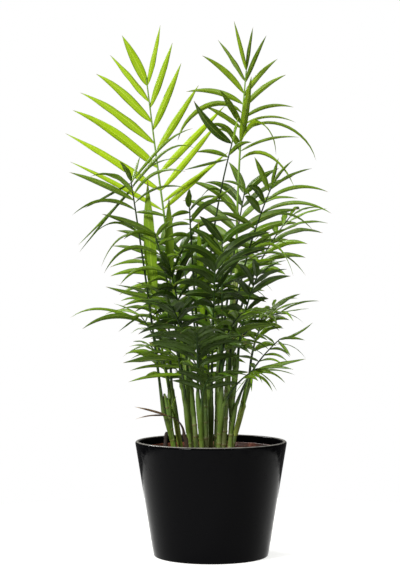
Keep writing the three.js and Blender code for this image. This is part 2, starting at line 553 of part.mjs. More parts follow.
// A leaflet of an even row: it opens off the stalk and hangs more and more towards its point.
function rowLeaflet(frond, stalk, pair, side, seed) {
  const share = pair / (frond.pairs - 1);
  const place = mix(frond.bare, 0.985, share) + side * 0.006;
  const { along, upper, across } = frondFrame(frond, stalk, place);
  const open = degrees(mix(frond.spread, frond.spread * 0.42, share) + 5 * wobble(seed, 1));
  const lift = degrees(frond.vee + 7 * wobble(seed, 2));
  const length = frond.leaf[0] * (0.5 + 0.5 * sin(PI * (0.2 + 0.7 * share))) * (1 + 0.08 * wobble(seed, 3));
  const droop = frond.droop * (1 + 0.3 * wobble(seed, 4));
  const start = along.clone().multiplyScalar(cos(open));
  start.addScaledVector(across, side * sin(open) * cos(lift)).addScaledVector(upper, sin(open) * sin(lift));
  const points = [stalk.getPoint(place)];
  for (let k = 0; k < PATH_STEPS; k++) {
    const hang = droop * pow((k + 0.5) / PATH_STEPS, 1.4);
    const heading = start.clone().addScaledVector(UP, -hang).normalize();
    points.push(points[k].clone().addScaledVector(heading, length / PATH_STEPS));
  }
  const blade = upper.clone().cross(start).normalize().applyAxisAngle(start, degrees(28 * wobble(seed, 5)));
  return leafletFrom(points, blade, frond.leaf[1]);
}

function leafletsOf(frond, number, stalk) {
  const seed = number * 40;
  if (frond.leaves) return frond.leaves.map((leaf, i) => listedLeaflet(frond, stalk, leaf, seed + i));
  return Array.from({ length: frond.pairs * 2 }, (_, i) =>
    rowLeaflet(frond, stalk, floor(i / 2), i % 2 ? 1 : -1, seed + i),
  );
}

// The leaflet turned and lifted about its root, and shortened.
function nudged({ points, widths, width }, { lift, sweep, length }) {
  const root = points[0];
  const reach = points.at(-1).clone().sub(root);
  const level = reach.clone().cross(UP).normalize();
  const turn = new THREE.Quaternion().setFromAxisAngle(UP, degrees(sweep));
  turn.multiply(new THREE.Quaternion().setFromAxisAngle(level, degrees(lift)));
  return {
    points: points.map((p) => p.clone().sub(root).multiplyScalar(length).applyQuaternion(turn).add(root)),
    widths: widths.map((w) => w.clone().applyQuaternion(turn)),
    width,
  };
}

function leafletSolid({ points, widths, width }) {
  const long = points[0].distanceTo(points.at(-1)) >= LONG_BLADE.from;
  const rings = (long ? LONG_BLADE : SHORT_BLADE).stations.map((t) => {
    const k = Math.round(t * PATH_STEPS);
    if (t === 1) return [points[k]];
    const along = points[k + 1].clone().sub(points[max(k - 1, 0)]).normalize();
    const under = widths[k].clone().cross(along).normalize();
    const half = (width / 2) * bladeShape(t);
    return [
      points[k].clone().addScaledVector(widths[k], half),
      points[k].clone().addScaledVector(widths[k], -half),
      points[k].clone().addScaledVector(under, BLADE_THICKNESS),
    ];
  });
  return solidFrom(loft(rings));
}

const LEAFLET_NUDGES = [1, 0.8, 0.6, 0.42]
  .flatMap((length) =>
    [0, 7, -7, 14, -14, 22, -22].flatMap((lift) => [0, 8, -8].map((sweep) => ({ lift, sweep, length }))),
  )
  .sort((a, b) => nudgeCost(a) - nudgeCost(b));

function nudgeCost({ lift, sweep, length }) {
  return hypot(lift, sweep) + 70 * (1 - length);
}

// ---------------------------------------------------------------- keeping clear

// The solids that stand so far, each with its box.
const standing = [];

function stand(name, solid) {
  standing.push({ name, solid, box: solid.boundingBox() });
}

function boxesMeet(a, b) {
  return [0, 1, 2].every((i) => a.min[i] - CLEARANCE < b.max[i] && b.min[i] - CLEARANCE < a.max[i]);
}

function isClear(solid, except) {
  const box = solid.boundingBox();
  return standing.every(
    (other) =>
      other.name === except ||
      !boxesMeet(box, other.box) ||
      solid.minGap(other.solid, CLEARANCE) >= CLEARANCE * 0.99,
  );
}

// The first of the nudges whose piece touches nothing that stands, with the curve it follows.
function firstClear(piece, solidOn) {
  for (const nudge of STALK_NUDGES) {
    const curve = stalkCurve(piece, nudge);
    const solid = solidOn(piece, curve);
    if (isClear(solid)) return { curve, solid };
  }
  throw new Error(piece.name + " finds no free place");
}

// ---------------------------------------------------------------- assembly

const plant = new THREE.Group();

const MATERIALS = {
  glaze: new THREE.MeshStandardMaterial({ color: "#0b0c0d", roughness: 0.14, metalness: 0 }),
  terracottaPlastic: new THREE.MeshStandardMaterial({ color: "#8a4030", roughness: 0.6, metalness: 0 }),
  pottingMix: new THREE.MeshStandardMaterial({ color: "#3b241b", roughness: 0.95, metalness: 0 }),
  cane: new THREE.MeshStandardMaterial({ color: "#5f7a2c", roughness: 0.5, metalness: 0 }),
  leaf: new THREE.MeshStandardMaterial({ color: "#2f6a14", roughness: 0.45, metalness: 0 }),
  youngLeaf: new THREE.MeshStandardMaterial({ color: "#8fb02a", roughness: 0.42, metalness: 0 }),
  dry: new THREE.MeshStandardMaterial({ color: "#7d5a38", roughness: 0.85, metalness: 0 }),
};

function add(name, solid, material) {
  const mesh = new THREE.Mesh(geometryFrom(solid), material);
  mesh.name = name;
  plant.add(mesh);
}

add("cachepot", solidFrom(cachepotGeometry()), MATERIALS.glaze);
add("nursery_pot", nurseryPotSolid(), MATERIALS.terracottaPlastic);
add("potting_mix", mixSolid(CANES), MATERIALS.pottingMix);

for (const cane of CANES) {
  const solid = caneSolid(cane);
  stand(cane.name, solid);
  add(cane.name, solid, MATERIALS[cane.colour ?? "cane"]);
}

for (const spear of SPEARS) {
  const { solid } = firstClear(spear, spearSolid);
  stand(spear.name, solid);
  add(spear.name, solid, MATERIALS.youngLeaf);
}

// Every stalk is placed before the first leaflet, so that no leaflet stands in a stalk's way.
const stalks = FRONDS.map((frond) => {
  const stalk = firstClear(frond, stalkSolid);
  stand(frond.name, stalk.solid);
  return stalk;
});

FRONDS.forEach((frond, number) => {
  const { curve, solid } = stalks[number];
  const blades = [];
  for (const leaflet of leafletsOf(frond, number, curve)) {
    const place = (nudge) => leafletSolid(nudged(leaflet, nudge));
    const blade = LEAFLET_NUDGES.map(place).find((one) => isClear(one, frond.name));
    if (blade) blades.push(blade);
  }
  const whole = blades.reduce((sum, blade) => sum.add(blade), solid);
  blades.forEach((blade) => stand(frond.name, blade));
  add(frond.name, whole, MATERIALS[frond.colour ?? "leaf"]);
});

export default plant;
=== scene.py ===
"""A parlour palm: a clump of young canes in a plastic nursery pot, inside a glossy black cachepot.

Everything is in metres, +Z up. Where each cane, stalk and leaflet goes is read from the solids of
the frame, and this script gives each of them its grown, fired or moulded surface.
"""

import logging
import math
import random
from dataclasses import dataclass, field
from enum import Enum

import bmesh
import bpy
import numpy
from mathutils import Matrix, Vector, noise


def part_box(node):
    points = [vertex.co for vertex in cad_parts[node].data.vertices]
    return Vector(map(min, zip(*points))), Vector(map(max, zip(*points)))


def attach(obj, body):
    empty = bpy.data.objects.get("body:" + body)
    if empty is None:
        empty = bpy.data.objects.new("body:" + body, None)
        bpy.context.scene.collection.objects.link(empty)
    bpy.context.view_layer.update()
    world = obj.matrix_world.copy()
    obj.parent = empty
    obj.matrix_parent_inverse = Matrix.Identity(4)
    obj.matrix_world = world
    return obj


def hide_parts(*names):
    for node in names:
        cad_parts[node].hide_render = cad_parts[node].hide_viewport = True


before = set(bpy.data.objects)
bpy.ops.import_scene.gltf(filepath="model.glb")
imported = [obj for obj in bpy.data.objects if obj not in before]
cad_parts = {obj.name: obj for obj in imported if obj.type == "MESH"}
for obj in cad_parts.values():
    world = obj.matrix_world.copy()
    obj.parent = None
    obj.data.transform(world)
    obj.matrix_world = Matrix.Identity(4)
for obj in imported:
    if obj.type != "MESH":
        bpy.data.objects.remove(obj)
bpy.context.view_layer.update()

MM = 0.001
UP = Vector((0, 0, 1))
BODY = "root"
LOG = logging.getLogger("palm")

Colour = tuple[float, float, float, float]
Outline = list[tuple[float, float]]
Axes = tuple[float, float, float]

# The nodes that are used most.
MATH = "ShaderNodeMath"
MIX = "ShaderNodeMix"
RANGE = "ShaderNodeMapRange"
TRAIT = "ShaderNodeAttribute"
BUMP = "ShaderNodeBump"
SURFACE = "ShaderNodeOutputMaterial"
READ = "GeometryNodeInputNamedAttribute"
STORE = "GeometryNodeStoreNamedAttribute"
SKIN = "ShaderNodeBsdfPrincipled"
MOVE = "GeometryNodeSetPosition"
SMOOTH = "GeometryNodeSetShadeSmooth"
SWEEP = "GeometryNodeCurveToMesh"
VECTOR = "ShaderNodeCombineXYZ"
CHANCE = "FunctionNodeRandomValue"

# What those nodes are often set to.
EASED = {"interpolation_type": "SMOOTHSTEP"}
COLOUR = {"take": 2, "data_type": "RGBA"}


# ---------------------------------------------------------------- small helpers


def linear(hex_colour: str) -> Colour:
    """Turns an sRGB hex colour into a linear one.

    Args:
        hex_colour: The colour, such as "#5f7a2c".

    Returns:
        Red, green, blue and alpha, linear.
    """
    parts = [int(hex_colour[i:i + 2], 16) / 255 for i in (1, 3, 5)]
    bent = [part / 12.92 if part <= 0.04045 else ((part + 0.055) / 1.055) ** 2.4 for part in parts]
    return (*bent, 1.0)


def put(
    tree: bpy.types.NodeTree, kind: str, feeds: dict | tuple = (), take: int | str = 0, **settings: object
) -> bpy.types.NodeSocket | None:
    """Adds a node to a shader or geometry tree, with its settings and links.

    Args:
        tree: The tree that gets the node.
        kind: The node's type.
        feeds: A value or another node's output for its inputs, in order or by name or number.
        take: The name or number of the output to give back.
        settings: Properties of the node itself.

    Returns:
        That output, or None where the node has none.
    """
    made = tree.nodes.new(kind)
    for name, value in settings.items():
        setattr(made, name, value)
    for key, value in feeds.items() if isinstance(feeds, dict) else enumerate(feeds):
        if isinstance(value, bpy.types.NodeSocket):
            tree.links.new(value, made.inputs[key])
        else:
            made.inputs[key].default_value = value
    return made.outputs[take] if made.outputs else None


def blank_material(name: str) -> tuple[bpy.types.Material, bpy.types.NodeTree]:
    """Makes a material whose tree holds only its output.

    Args:
        name: The material's name.

    Returns:
        The material and its tree.
    """
    made = bpy.data.materials.new(name)
    made.use_nodes = True
    made.node_tree.nodes.clear()
    return made, made.node_tree


def speckle(
    tree: bpy.types.NodeTree, size: float, stretch: Axes = (1.0, 1.0, 1.0), detail: float = 2.0
) -> bpy.types.NodeSocket:
    """Adds noise on the piece's own coordinates.

    Args:
        tree: The tree that gets the nodes.
        size: The size of one grain, in metres.
        stretch: How many times longer each grain is along X, Y and Z.
        detail: How many finer layers it has.

    Returns:
        The noise, about 0.5 all over.
    """
    place = put(tree, "ShaderNodeTexCoord", take="Object")
    scale = tuple(1 / axis for axis in stretch)
    mapped = put(tree, "ShaderNodeMapping", {"Vector": place, "Scale": scale})
    inputs = {"Vector": mapped, "Scale": 1 / size, "Detail": detail}
    return put(tree, "ShaderNodeTexNoise", inputs, take="Fac")


# ---------------------------------------------------------------- finishes


@dataclass(frozen=True)
class GlazedStoneware:
    """Black glaze on slip-cast stoneware: a hard deep gloss, a little uneven, with a painted grey
    highlight along the lip.
    """

    glaze: str = "#030304"
    painted_lip_highlight: str = "#77756f"
    clay: str = "#7b6a58"
    ripple: float = 7 * MM  # glaze settles in waves of this size
    pinhole: float = 0.9 * MM
    bare_below: float = 0.35 * MM  # the foot is wiped clean before firing
    gloss: float = 0.04

    def material(self, lip: float) -> bpy.types.Material:
        """Makes the glaze.

        Args:
            lip: The height of the pot's lip, where the grey highlight is painted.

        Returns:
            The material.
        """
        made, tree = blank_material("black_stoneware_glaze")
        place = put(tree, "ShaderNodeTexCoord", take="Object")
        height = put(tree, "ShaderNodeSeparateXYZ", {0: place}, take="Z")
        waves = speckle(tree, self.ripple)
        pits = speckle(tree, self.pinhole, detail=1.0)
        # Painted highlight: a grey band along the lip, broken up by the glaze's waves, stands in for the
        # lamps' reflection there.
        thin = put(tree, MATH, (
            put(tree, RANGE, (height, lip - 1.1 * MM, lip - 0.2 * MM), **EASED),
            put(tree, RANGE, (waves, 0.2, 0.6, 0.5, 1.0), **EASED),
        ), operation="MULTIPLY")
        glazed = put(tree, MIX, {0: thin, 6: linear(self.glaze), 7: linear(self.painted_lip_highlight)}, **COLOUR)
        bare = put(tree, RANGE, (height, self.bare_below, 0.0), **EASED)
        colour = put(tree, MIX, {0: bare, 6: glazed, 7: linear(self.clay)}, **COLOUR)
        surface = put(tree, MATH, (
            put(tree, MATH, (waves, 0.8), operation="MULTIPLY"),
            put(tree, MATH, (pits, 0.2), operation="MULTIPLY"),
        ), operation="ADD")
        shader = put(tree, SKIN, {
            "Base Color": colour,
            "Roughness": put(tree, RANGE, (
                put(tree, MATH, (bare, waves), operation="ADD"),
                0.3,
                1.5,
                0.07,
                0.8,
            ), **EASED),
            "IOR": 1.5,
            "Specular IOR Level": self.gloss,
            "Normal": put(tree, BUMP, {"Height": surface, "Distance": 0.25 * MM, "Strength": 0.22}),
        })
        put(tree, SURFACE, (shader,))
        return made


@dataclass(frozen=True)
class MouldedPolypropylene:
    """Terracotta polypropylene, injection moulded: a satin skin, scuffed, with soil dust in patches."""

    plastic: str = "#64321f"
    scuffed: str = "#7a4a35"
    dust: str = "#3a241a"
    grain: float = 0.8 * MM
    scuff: float = 5 * MM

    def material(self) -> bpy.types.Material:
        """Makes the plastic.

        Returns:
            The material.
        """
        made, tree = blank_material("terracotta_polypropylene")
        grain = speckle(tree, self.grain)
        scuffs = speckle(tree, self.scuff, stretch=(1.0, 1.0, 0.25), detail=5.0)
        dusty = speckle(tree, 14 * MM, detail=6.0)
        worn = put(tree, MIX, {
            0: put(tree, RANGE, (scuffs, 0.55, 0.75), **EASED),
            6: linear(self.plastic),
            7: linear(self.scuffed),
        }, **COLOUR)
        colour = put(tree, MIX, {
            0: put(tree, RANGE, (dusty, 0.5, 0.68, 0.0, 0.75), **EASED),
            6: worn,
            7: linear(self.dust),
        }, **COLOUR)
        shader = put(tree, SKIN, {
            "Base Color": colour,
            "Roughness": put(tree, RANGE, (scuffs, 0.3, 0.8, 0.38, 0.62), **EASED),
            "IOR": 1.49,
            "Normal": put(tree, BUMP, {"Height": grain, "Distance": 0.12 * MM, "Strength": 0.4}),
        })
        put(tree, SURFACE, (shader,))
        return made


@dataclass(frozen=True)
class PottingMix:
    """Damp peat with bark and coir: matt crumbs from near black to rust, each with a colour of its own."""

    peat: str = "#1c0d07"
    bark: str = "#522214"
    coir: str = "#744a2a"
    crumb: float = 1.6 * MM

    def material(self) -> bpy.types.Material:
        """Makes the mix.

        Returns:
            The material.
        """
        made, tree = blank_material("peat_and_coir")
        own = put(tree, TRAIT, take="Fac", attribute_name="tone")
        grain = speckle(tree, self.crumb, detail=5.0)
        patch = speckle(tree, self.crumb * 6, detail=3.0)
        share = put(tree, MATH, (
            put(tree, MATH, (own, 0.55), operation="MULTIPLY"),
            put(tree, MATH, (patch, 0.55), operation="MULTIPLY"),
        ), operation="ADD")
        dark = put(tree, MIX, {
            0: put(tree, RANGE, (share, 0.22, 0.75), **EASED),
            6: linear(self.peat),
            7: linear(self.bark),
        }, **COLOUR)
        colour = put(tree, MIX, {
            0: put(tree, RANGE, (put(tree, MATH, (own, grain), operation="ADD"), 1.25, 1.55), **EASED),
            6: dark,
            7: linear(self.coir),
        }, **COLOUR)
        shader = put(tree, SKIN, {
            "Base Color": colour,
            "Roughness": 0.93,
            "Specular IOR Level": 0.25,
            "Normal": put(tree, BUMP, {"Height": grain, "Distance": 0.8 * MM, "Strength": 0.9}),
        })
        put(tree, SURFACE, (shader,))
        return made


@dataclass(frozen=True)
class LivingCane:
    """Young palm cane: waxy green, streaked lengthwise, dull at its foot, brown-scarred at each ring."""

    name: str = "living_cane"
    skin: str = "#436014"
    streak: str = "#6c8230"
    foot: str = "#5e6630"
    scar: str = "#5d4a2a"
    fibre: float = 0.8 * MM
    roughness: float = 0.45

    def material(self) -> bpy.types.Material:
        """Makes the cane's skin, which reads the attributes ring and height.

        Returns:
            The material.
        """
        made, tree = blank_material(self.name)
        fibres = speckle(tree, self.fibre, stretch=(1.0, 1.0, 26.0), detail=3.0)
        bloom = speckle(tree, 9 * MM, stretch=(1.0, 1.0, 2.5))
        streaked = put(tree, MIX, {
            0: put(tree, RANGE, (fibres, 0.42, 0.68, 0.0, 0.75), **EASED),
            6: linear(self.skin),
            7: linear(self.streak),
        }, **COLOUR)
        low = put(tree, MATH, (
            put(tree, RANGE, (put(tree, TRAIT, take="Fac", attribute_name="height"), 0.62, 0.2), **EASED),
            put(tree, RANGE, (bloom, 0.25, 0.6), **EASED),
        ), operation="MULTIPLY")
        aged = put(tree, MIX, {0: low, 6: streaked, 7: linear(self.foot)}, **COLOUR)
        marked = put(tree, MATH, (
            put(tree, TRAIT, take="Fac", attribute_name="ring"),
            put(tree, RANGE, (bloom, 0.2, 0.7, 0.35, 0.9), **EASED),
        ), operation="MULTIPLY")
        colour = put(tree, MIX, {0: marked, 6: aged, 7: linear(self.scar)}, **COLOUR)
        shader = put(tree, SKIN, {
            "Base Color": colour,
            "Roughness": put(tree, RANGE, (
                bloom,
                0.3,
                0.7,
                self.roughness - 0.08,
                self.roughness + 0.15,
            ), **EASED),
            "Normal": put(tree, BUMP, {"Height": fibres, "Distance": 0.25 * MM, "Strength": 0.5}),
        })
        put(tree, SURFACE, (shader,))
        return made


@dataclass(frozen=True)
class PalmStalk:
    """Palm leaf stalk: a smooth waxy rod with faint ribs, paler and fibrous where it sheathes the cane."""

    name: str
    skin: str
    rib: str
    sheath: str
    roughness: float = 0.42

    def material(self) -> bpy.types.Material:
        """Makes the stalk's skin, which reads the attribute along, negative on the sheath.

        Returns:
            The material.
        """
        made, tree = blank_material(self.name)
        along = put(tree, TRAIT, take="Fac", attribute_name="along")
        ribs = speckle(tree, 0.5 * MM, stretch=(1.0, 1.0, 30.0))
        bloom = speckle(tree, 7 * MM, detail=4.0)
        skin = put(tree, MIX, {
            0: put(tree, RANGE, (ribs, 0.45, 0.68, 0.0, 0.7), **EASED),
            6: linear(self.skin),
            7: linear(self.rib),
        }, **COLOUR)
        low = put(tree, MATH, (
            put(tree, RANGE, (along, 0.16, -0.05), **EASED),
            put(tree, RANGE, (bloom, 0.2, 0.55, 0.5, 1.0), **EASED),
        ), operation="MULTIPLY")
        colour = put(tree, MIX, {0: low, 6: skin, 7: linear(self.sheath)}, **COLOUR)
        shader = put(tree, SKIN, {
            "Base Color": colour,
            "Roughness": put(tree, RANGE, (
                bloom,
                0.3,
                0.7,
                self.roughness - 0.08,
                self.roughness + 0.12,
            ), **EASED),
            "Specular IOR Level": 0.3,
            "Normal": put(tree, BUMP, {"Height": ribs, "Distance": 0.18 * MM, "Strength": 0.4}),
        })
        put(tree, SURFACE, (shader,))
        return made


@dataclass(frozen=True)
class PalmLeaf:
    """Palm leaflet: a thin waxy blade, veined along its length, which lets some light through."""

    name: str
    fresh: str
    deep: str
    under: str
    vein: str
    through: str
    glow: float  # share of the light that passes through the blade
    roughness: float = 0.36
    wax: float = 0.22
    dry_tip: float = 0.05  # share of the blade that has dried at its point
    dried: str = "#8a6a3a"
    vein_gap: float = 1.1 * MM  # real ones are about half as far apart, too fine to show

    def material(self) -> bpy.types.Material:
        """Makes the blade, which reads the attributes tone, along, across, side and girth.

        Returns:
            The material.
        """
        made, tree = blank_material(self.name)
        along = put(tree, TRAIT, take="Fac", attribute_name="along")
        across = put(tree, TRAIT, take="Fac", attribute_name="across")
        mottle = speckle(tree, 11 * MM, detail=4.0)
        out = put(tree, MATH, (
            across,
            put(tree, TRAIT, take="Fac", attribute_name="girth"),
        ), operation="MULTIPLY")
        blade = put(tree, MIX, {
            0: put(tree, TRAIT, take="Fac", attribute_name="tone"),
            6: linear(self.deep),
            7: linear(self.fresh),
        }, **COLOUR)
        blotched = put(tree, MIX, {
            0: put(tree, RANGE, (mottle, 0.4, 0.75, 0.0, 0.45), **EASED),
            6: blade,
            7: linear(self.deep),
        }, **COLOUR)
        wave = put(tree, MATH, (
            put(tree, MATH, (out, 2 * math.pi / self.vein_gap), operation="MULTIPLY"),
        ), operation="SINE")
        vein = put(tree, MATH, (
            put(tree, RANGE, (wave, -0.2, 1.0), **EASED),
            put(tree, RANGE, (mottle, 0.35, 0.6, 0.45, 1.0), **EASED),
        ), operation="MULTIPLY")
        veined = put(tree, MIX, {
            0: put(tree, MATH, (vein, 0.3), operation="MULTIPLY"),
            6: blotched,
            7: linear(self.vein),
        }, **COLOUR)
        midrib = put(tree, RANGE, (put(tree, MATH, (across,), operation="ABSOLUTE"), 0.1, 0.02), **EASED)
        ribbed = put(tree, MIX, {
            0: put(tree, MATH, (midrib, 0.75), operation="MULTIPLY"),
            6: veined,
            7: linear(self.vein),
        }, **COLOUR)
        sided = put(tree, MIX, {
            0: put(tree, RANGE, (
                put(tree, TRAIT, take="Fac", attribute_name="side"),
                0.15,
                -0.15,
            ), **EASED),
            6: ribbed,
            7: linear(self.under),
        }, **COLOUR)
        tip = put(tree, RANGE, (
            put(tree, MATH, (
                along,
                put(tree, MATH, (mottle, 0.05), operation="MULTIPLY"),
            ), operation="ADD"),
            1.01 - self.dry_tip,
            1.03,
        ), **EASED)
        colour = put(tree, MIX, {0: tip, 6: sided, 7: linear(self.dried)}, **COLOUR)
        height = put(tree, MATH, (
            put(tree, MATH, (vein, -0.6), operation="MULTIPLY"),
            put(tree, MATH, (midrib, -1.0), operation="MULTIPLY"),
        ), operation="ADD")
        normal = put(tree, BUMP, {"Height": height, "Distance": 0.22 * MM, "Strength": 0.55})
        skin = put(tree, SKIN, {
            "Base Color": colour,
            "Roughness": put(tree, RANGE, (
                mottle,
                0.3,
                0.7,
                self.roughness - 0.06,
                self.roughness + 0.12,
            ), **EASED),
            "Specular IOR Level": self.wax,
            "Normal": normal,
        })
        lit = put(tree, MIX, {
            0: put(tree, MATH, (vein, 0.35), operation="MULTIPLY"),
            6: linear(self.through),
            7: colour,
        }, **COLOUR)
        passing = put(tree, "ShaderNodeBsdfTranslucent", {"Color": lit, "Normal": normal})
        both = put(tree, "ShaderNodeMixShader", {0: self.glow, 1: skin, 2: passing})
        put(tree, SURFACE, (both,))
        return made


@dataclass(frozen=True)
class PaleFloor:
    """A matt near-white studio floor, lit a little from below as a light table is."""

    paint: str = "#a8a8a6"
    light: str = "#fdfdfb"
    glow: float = 0.74

    def material(self) -> bpy.types.Material:
        """Makes the floor.

        Returns:
            The material.
        """
        made, tree = blank_material("studio_floor")
        shader = put(tree, SKIN, {
            "Base Color": linear(self.paint),
            "Roughness": 0.85,
            "Emission Color": linear(self.light),
            "Emission Strength": self.glow,
        })
        put(tree, SURFACE, (shader,))
        return made


class FrondLook(Enum):
    """How far a frond has grown, as its blade finish and its stalk finish; SUNLIT and SHADED are lit and
    shaded copies, painted light and painted shade.
    """

    # Painted light: a brighter, yellower leaf for fronds that glow lit from behind.
    SUNLIT = (
        PalmLeaf(
            "sunlit_leaf", "#a9c814", "#86a40a", "#8fa81a", "#c6d84a", "#b4d00e",
            glow=0.42, roughness=0.42, wax=0.12, dry_tip=0.03,
        ),
        PalmStalk("sunlit_stalk", "#4e6c10", "#7c9a28", "#6f8030"),
    )
    YOUNG = (
        PalmLeaf(
            "young_leaf", "#86a812", "#56800a", "#7d9a2c", "#b0cb4a", "#93b80c",
            glow=0.34, roughness=0.38, wax=0.16, dry_tip=0.03,
        ),
        PalmStalk("young_stalk", "#5c8016", "#86a434", "#7c8a38"),
    )
    OLIVE = (
        PalmLeaf(
            "olive_leaf", "#82a010", "#3e5c06", "#748a2c", "#9cae3c", "#94b00a",
            glow=0.3, roughness=0.34,
        ),
        PalmStalk("olive_stalk", "#5f8020", "#86a03c", "#848c44"),
    )
    GROWN = (
        PalmLeaf(
            "grown_leaf", "#6a8c14", "#2b4605", "#566e22", "#8a9c38", "#86a808",
            glow=0.22, roughness=0.31,
        ),
        # Painted shade: the grown stalk's near-black green stands in for stalks seen in shade against the
        # light.
        PalmStalk("grown_stalk_painted_shade", "#152405", "#304810", "#4c6020"),
    )
    # Painted shade: a darker leaf and stalk for fronds inside the clump.
    SHADED = (
        PalmLeaf(
            "shaded_leaf", "#44660e", "#142406", "#3a4e1c", "#62782a", "#5c7c06",
            glow=0.15, roughness=0.28,
        ),
        PalmStalk("shaded_stalk", "#1a3006", "#385414", "#4e6422"),
    )
    DRY = (
        PalmLeaf(
            "dry_leaf", "#6b5234", "#33241a", "#80694a", "#947c54", "#7c5c30",
            glow=0.1, roughness=0.8, wax=0.2, dry_tip=0.3, dried="#a8906a",
        ),
        PalmStalk("dry_stalk", "#261b12", "#423122", "#302317", roughness=0.8),
    )


# SUNLIT and SHADED fronds carry painted light and painted shade in their colours.
LOOK_OF_FROND = {
    "frond_left_crown": FrondLook.SUNLIT,
    "frond_right_crown": FrondLook.OLIVE,
    "frond_right_drooping": FrondLook.YOUNG,
    "frond_young_shoot": FrondLook.YOUNG,
    "dry_frond": FrondLook.DRY,
    "frond_middle_front": FrondLook.SHADED,
    "frond_middle_dark": FrondLook.SHADED,
    "frond_middle_left": FrondLook.SHADED,
    "frond_middle_right": FrondLook.SHADED,
    "frond_middle_back": FrondLook.SHADED,
    "frond_front_centre": FrondLook.SHADED,
    "frond_front_low": FrondLook.SHADED,
    "frond_front_left": FrondLook.SHADED,
}


# ---------------------------------------------------------------- reading the solids


class Edge(Enum):
    """How far a solid's surface turns at its long edges: least and most, in degrees."""

    BLADE = (100.0, 181.0)
    STALK = (60.0, 120.0)


class SolidReader:
    """Follows the long edges of one CAD solid, through any other leaflet that stands in their way."""

    MERGE = 2e-6
    STRAIGHT = 6e-6  # a line's corners lie further than this from the line past them
    WIDEST_GAP = 30 * MM
    ASIDE = 4e-6  # the most that an edge lies off its own line past a gap
    IN_LINE = 0.99  # the least cosine between the two stretches there
    SHARPEST_BEND = 0.15  # the least cosine between two stretches of one edge
    POINTED = math.radians(60)  # the faces at a point take up less than this
    ALIKE = 0.05  # two edges of one foot differ by less than this share

    def __init__(self, node: str) -> None:
        """Reads a node's solid.

        Args:
            node: The node's name.
        """
        self.mesh = bmesh.new()
        self.mesh.from_mesh(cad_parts[node].data)
        bmesh.ops.remove_doubles(self.mesh, verts=self.mesh.verts, dist=self.MERGE)
        self.turn = {
            edge: math.degrees(edge.calc_face_angle_signed(0.0))
            for edge in self.mesh.edges if edge.is_manifold
        }

    def sharp(self, corner: bmesh.types.BMVert, kind: Edge) -> list[bmesh.types.BMEdge]:
        """Lists the edges of one kind at a corner."""
        least, most = kind.value
        return [edge for edge in corner.link_edges if least < self.turn.get(edge, 0.0) < most]

    def beyond(
        self, corner: bmesh.types.BMVert, heading: Vector, kind: Edge, seen: set[bmesh.types.BMVert]
    ) -> tuple[bmesh.types.BMVert, bmesh.types.BMEdge] | None:
        """Finds where a straight edge goes on, past something that swallows a stretch of it.

        Args:
            corner: Where the edge is lost.
            heading: Its direction.
            kind: The kind of edge.
            seen: Corners already passed.

        Returns:
            The next corner and the edge that leaves it, or None.
        """
        best = None
        for other in self.mesh.verts:
            reach = other.co - corner.co
            ahead = reach.dot(heading)
            aside = (reach - heading * ahead).length
            if other in seen or not 0 < ahead < self.WIDEST_GAP or aside > self.ASIDE:
                continue
            onward = [
                edge for edge in self.sharp(other, kind)
                if (edge.other_vert(other).co - other.co).normalized().dot(heading) > self.IN_LINE
            ]
            if onward and (best is None or ahead < best[0]):
                best = (ahead, other, onward[0])
        return best and best[1:]

    def follow(self, start: bmesh.types.BMVert, edge: bmesh.types.BMEdge, kind: Edge) -> list[Vector]:
        """Follows an edge to its end.

        Args:
            start: The corner where the edge starts.
            edge: Its first stretch.
            kind: The kind of edge.

        Returns:
            Its ends and the corners where it bends.
        """
        passed, seen, corner = [start.co.copy()], {start}, start
        while edge:
            reached = edge.other_vert(corner)
            heading = (reached.co - corner.co).normalized()
            corner = reached
            passed.append(corner.co.copy())
            seen.add(corner)
            onward = [one for one in self.sharp(corner, kind) if one.other_vert(corner) not in seen]
            straightness = {
                one: (one.other_vert(corner).co - corner.co).normalized().dot(heading) for one in onward
            }
            edge = max(straightness, key=straightness.get, default=None)
            if edge is None or straightness[edge] < self.SHARPEST_BEND:
                edge = None
                found = self.beyond(corner, heading, kind, seen)
                if found:
                    corner, edge = found
                    passed.append(corner.co.copy())
                    seen.add(corner)
        return simplified(passed, self.STRAIGHT)

    def points(self) -> list[bmesh.types.BMVert]:
        """Lists the corners where a blade comes to a point.

        Returns:
            Those corners.
        """
        return [
            corner for corner in self.mesh.verts
            if sum(loop.calc_angle() for loop in corner.link_loops) < self.POINTED
            and len(self.sharp(corner, Edge.BLADE)) >= 2
        ]

    def foot_corners(self) -> list[tuple[bmesh.types.BMVert, bmesh.types.BMEdge]]:
        """Lists the four corners of a stalk's foot, each with the long edge that leaves it.

        Returns:
            Each corner and its edge.
        """
        found = []
        for corner in self.mesh.verts:
            edges = sorted(self.sharp(corner, Edge.STALK), key=lambda edge: edge.calc_length())
            if len(edges) != 3:
                continue
            short, middle, long = (edge.calc_length() for edge in edges)
            if middle - short < self.ALIKE * short:
                found.append((middle, corner, edges[2]))
            elif long - middle < self.ALIKE * middle:
                found.append((middle, corner, edges[0]))
        widest = max(size for size, _, _ in found)
        return [(corner, edge) for size, corner, edge in found if size > (1 - self.ALIKE) * widest]


def simplified(line: list[Vector], tolerance: float) -> list[Vector]:
    """Drops the points of a line that lie straight between others.

    Args:
        line: The line's points.
        tolerance: How far off a straight line a dropped point may be.

    Returns:
        The points that are left, ends included.
    """
    if len(line) < 3:
        return line
    start, end = line[0], line[-1]
    chord = (end - start).normalized()
    offs = [((p - start) - chord * (p - start).dot(chord)).length for p in line[1:-1]]
    worst = max(range(len(offs)), key=offs.__getitem__)
    if offs[worst] <= tolerance:
        return [start, end]
    middle = worst + 1
    return simplified(line[:middle + 1], tolerance)[:-1] + simplified(line[middle:], tolerance)


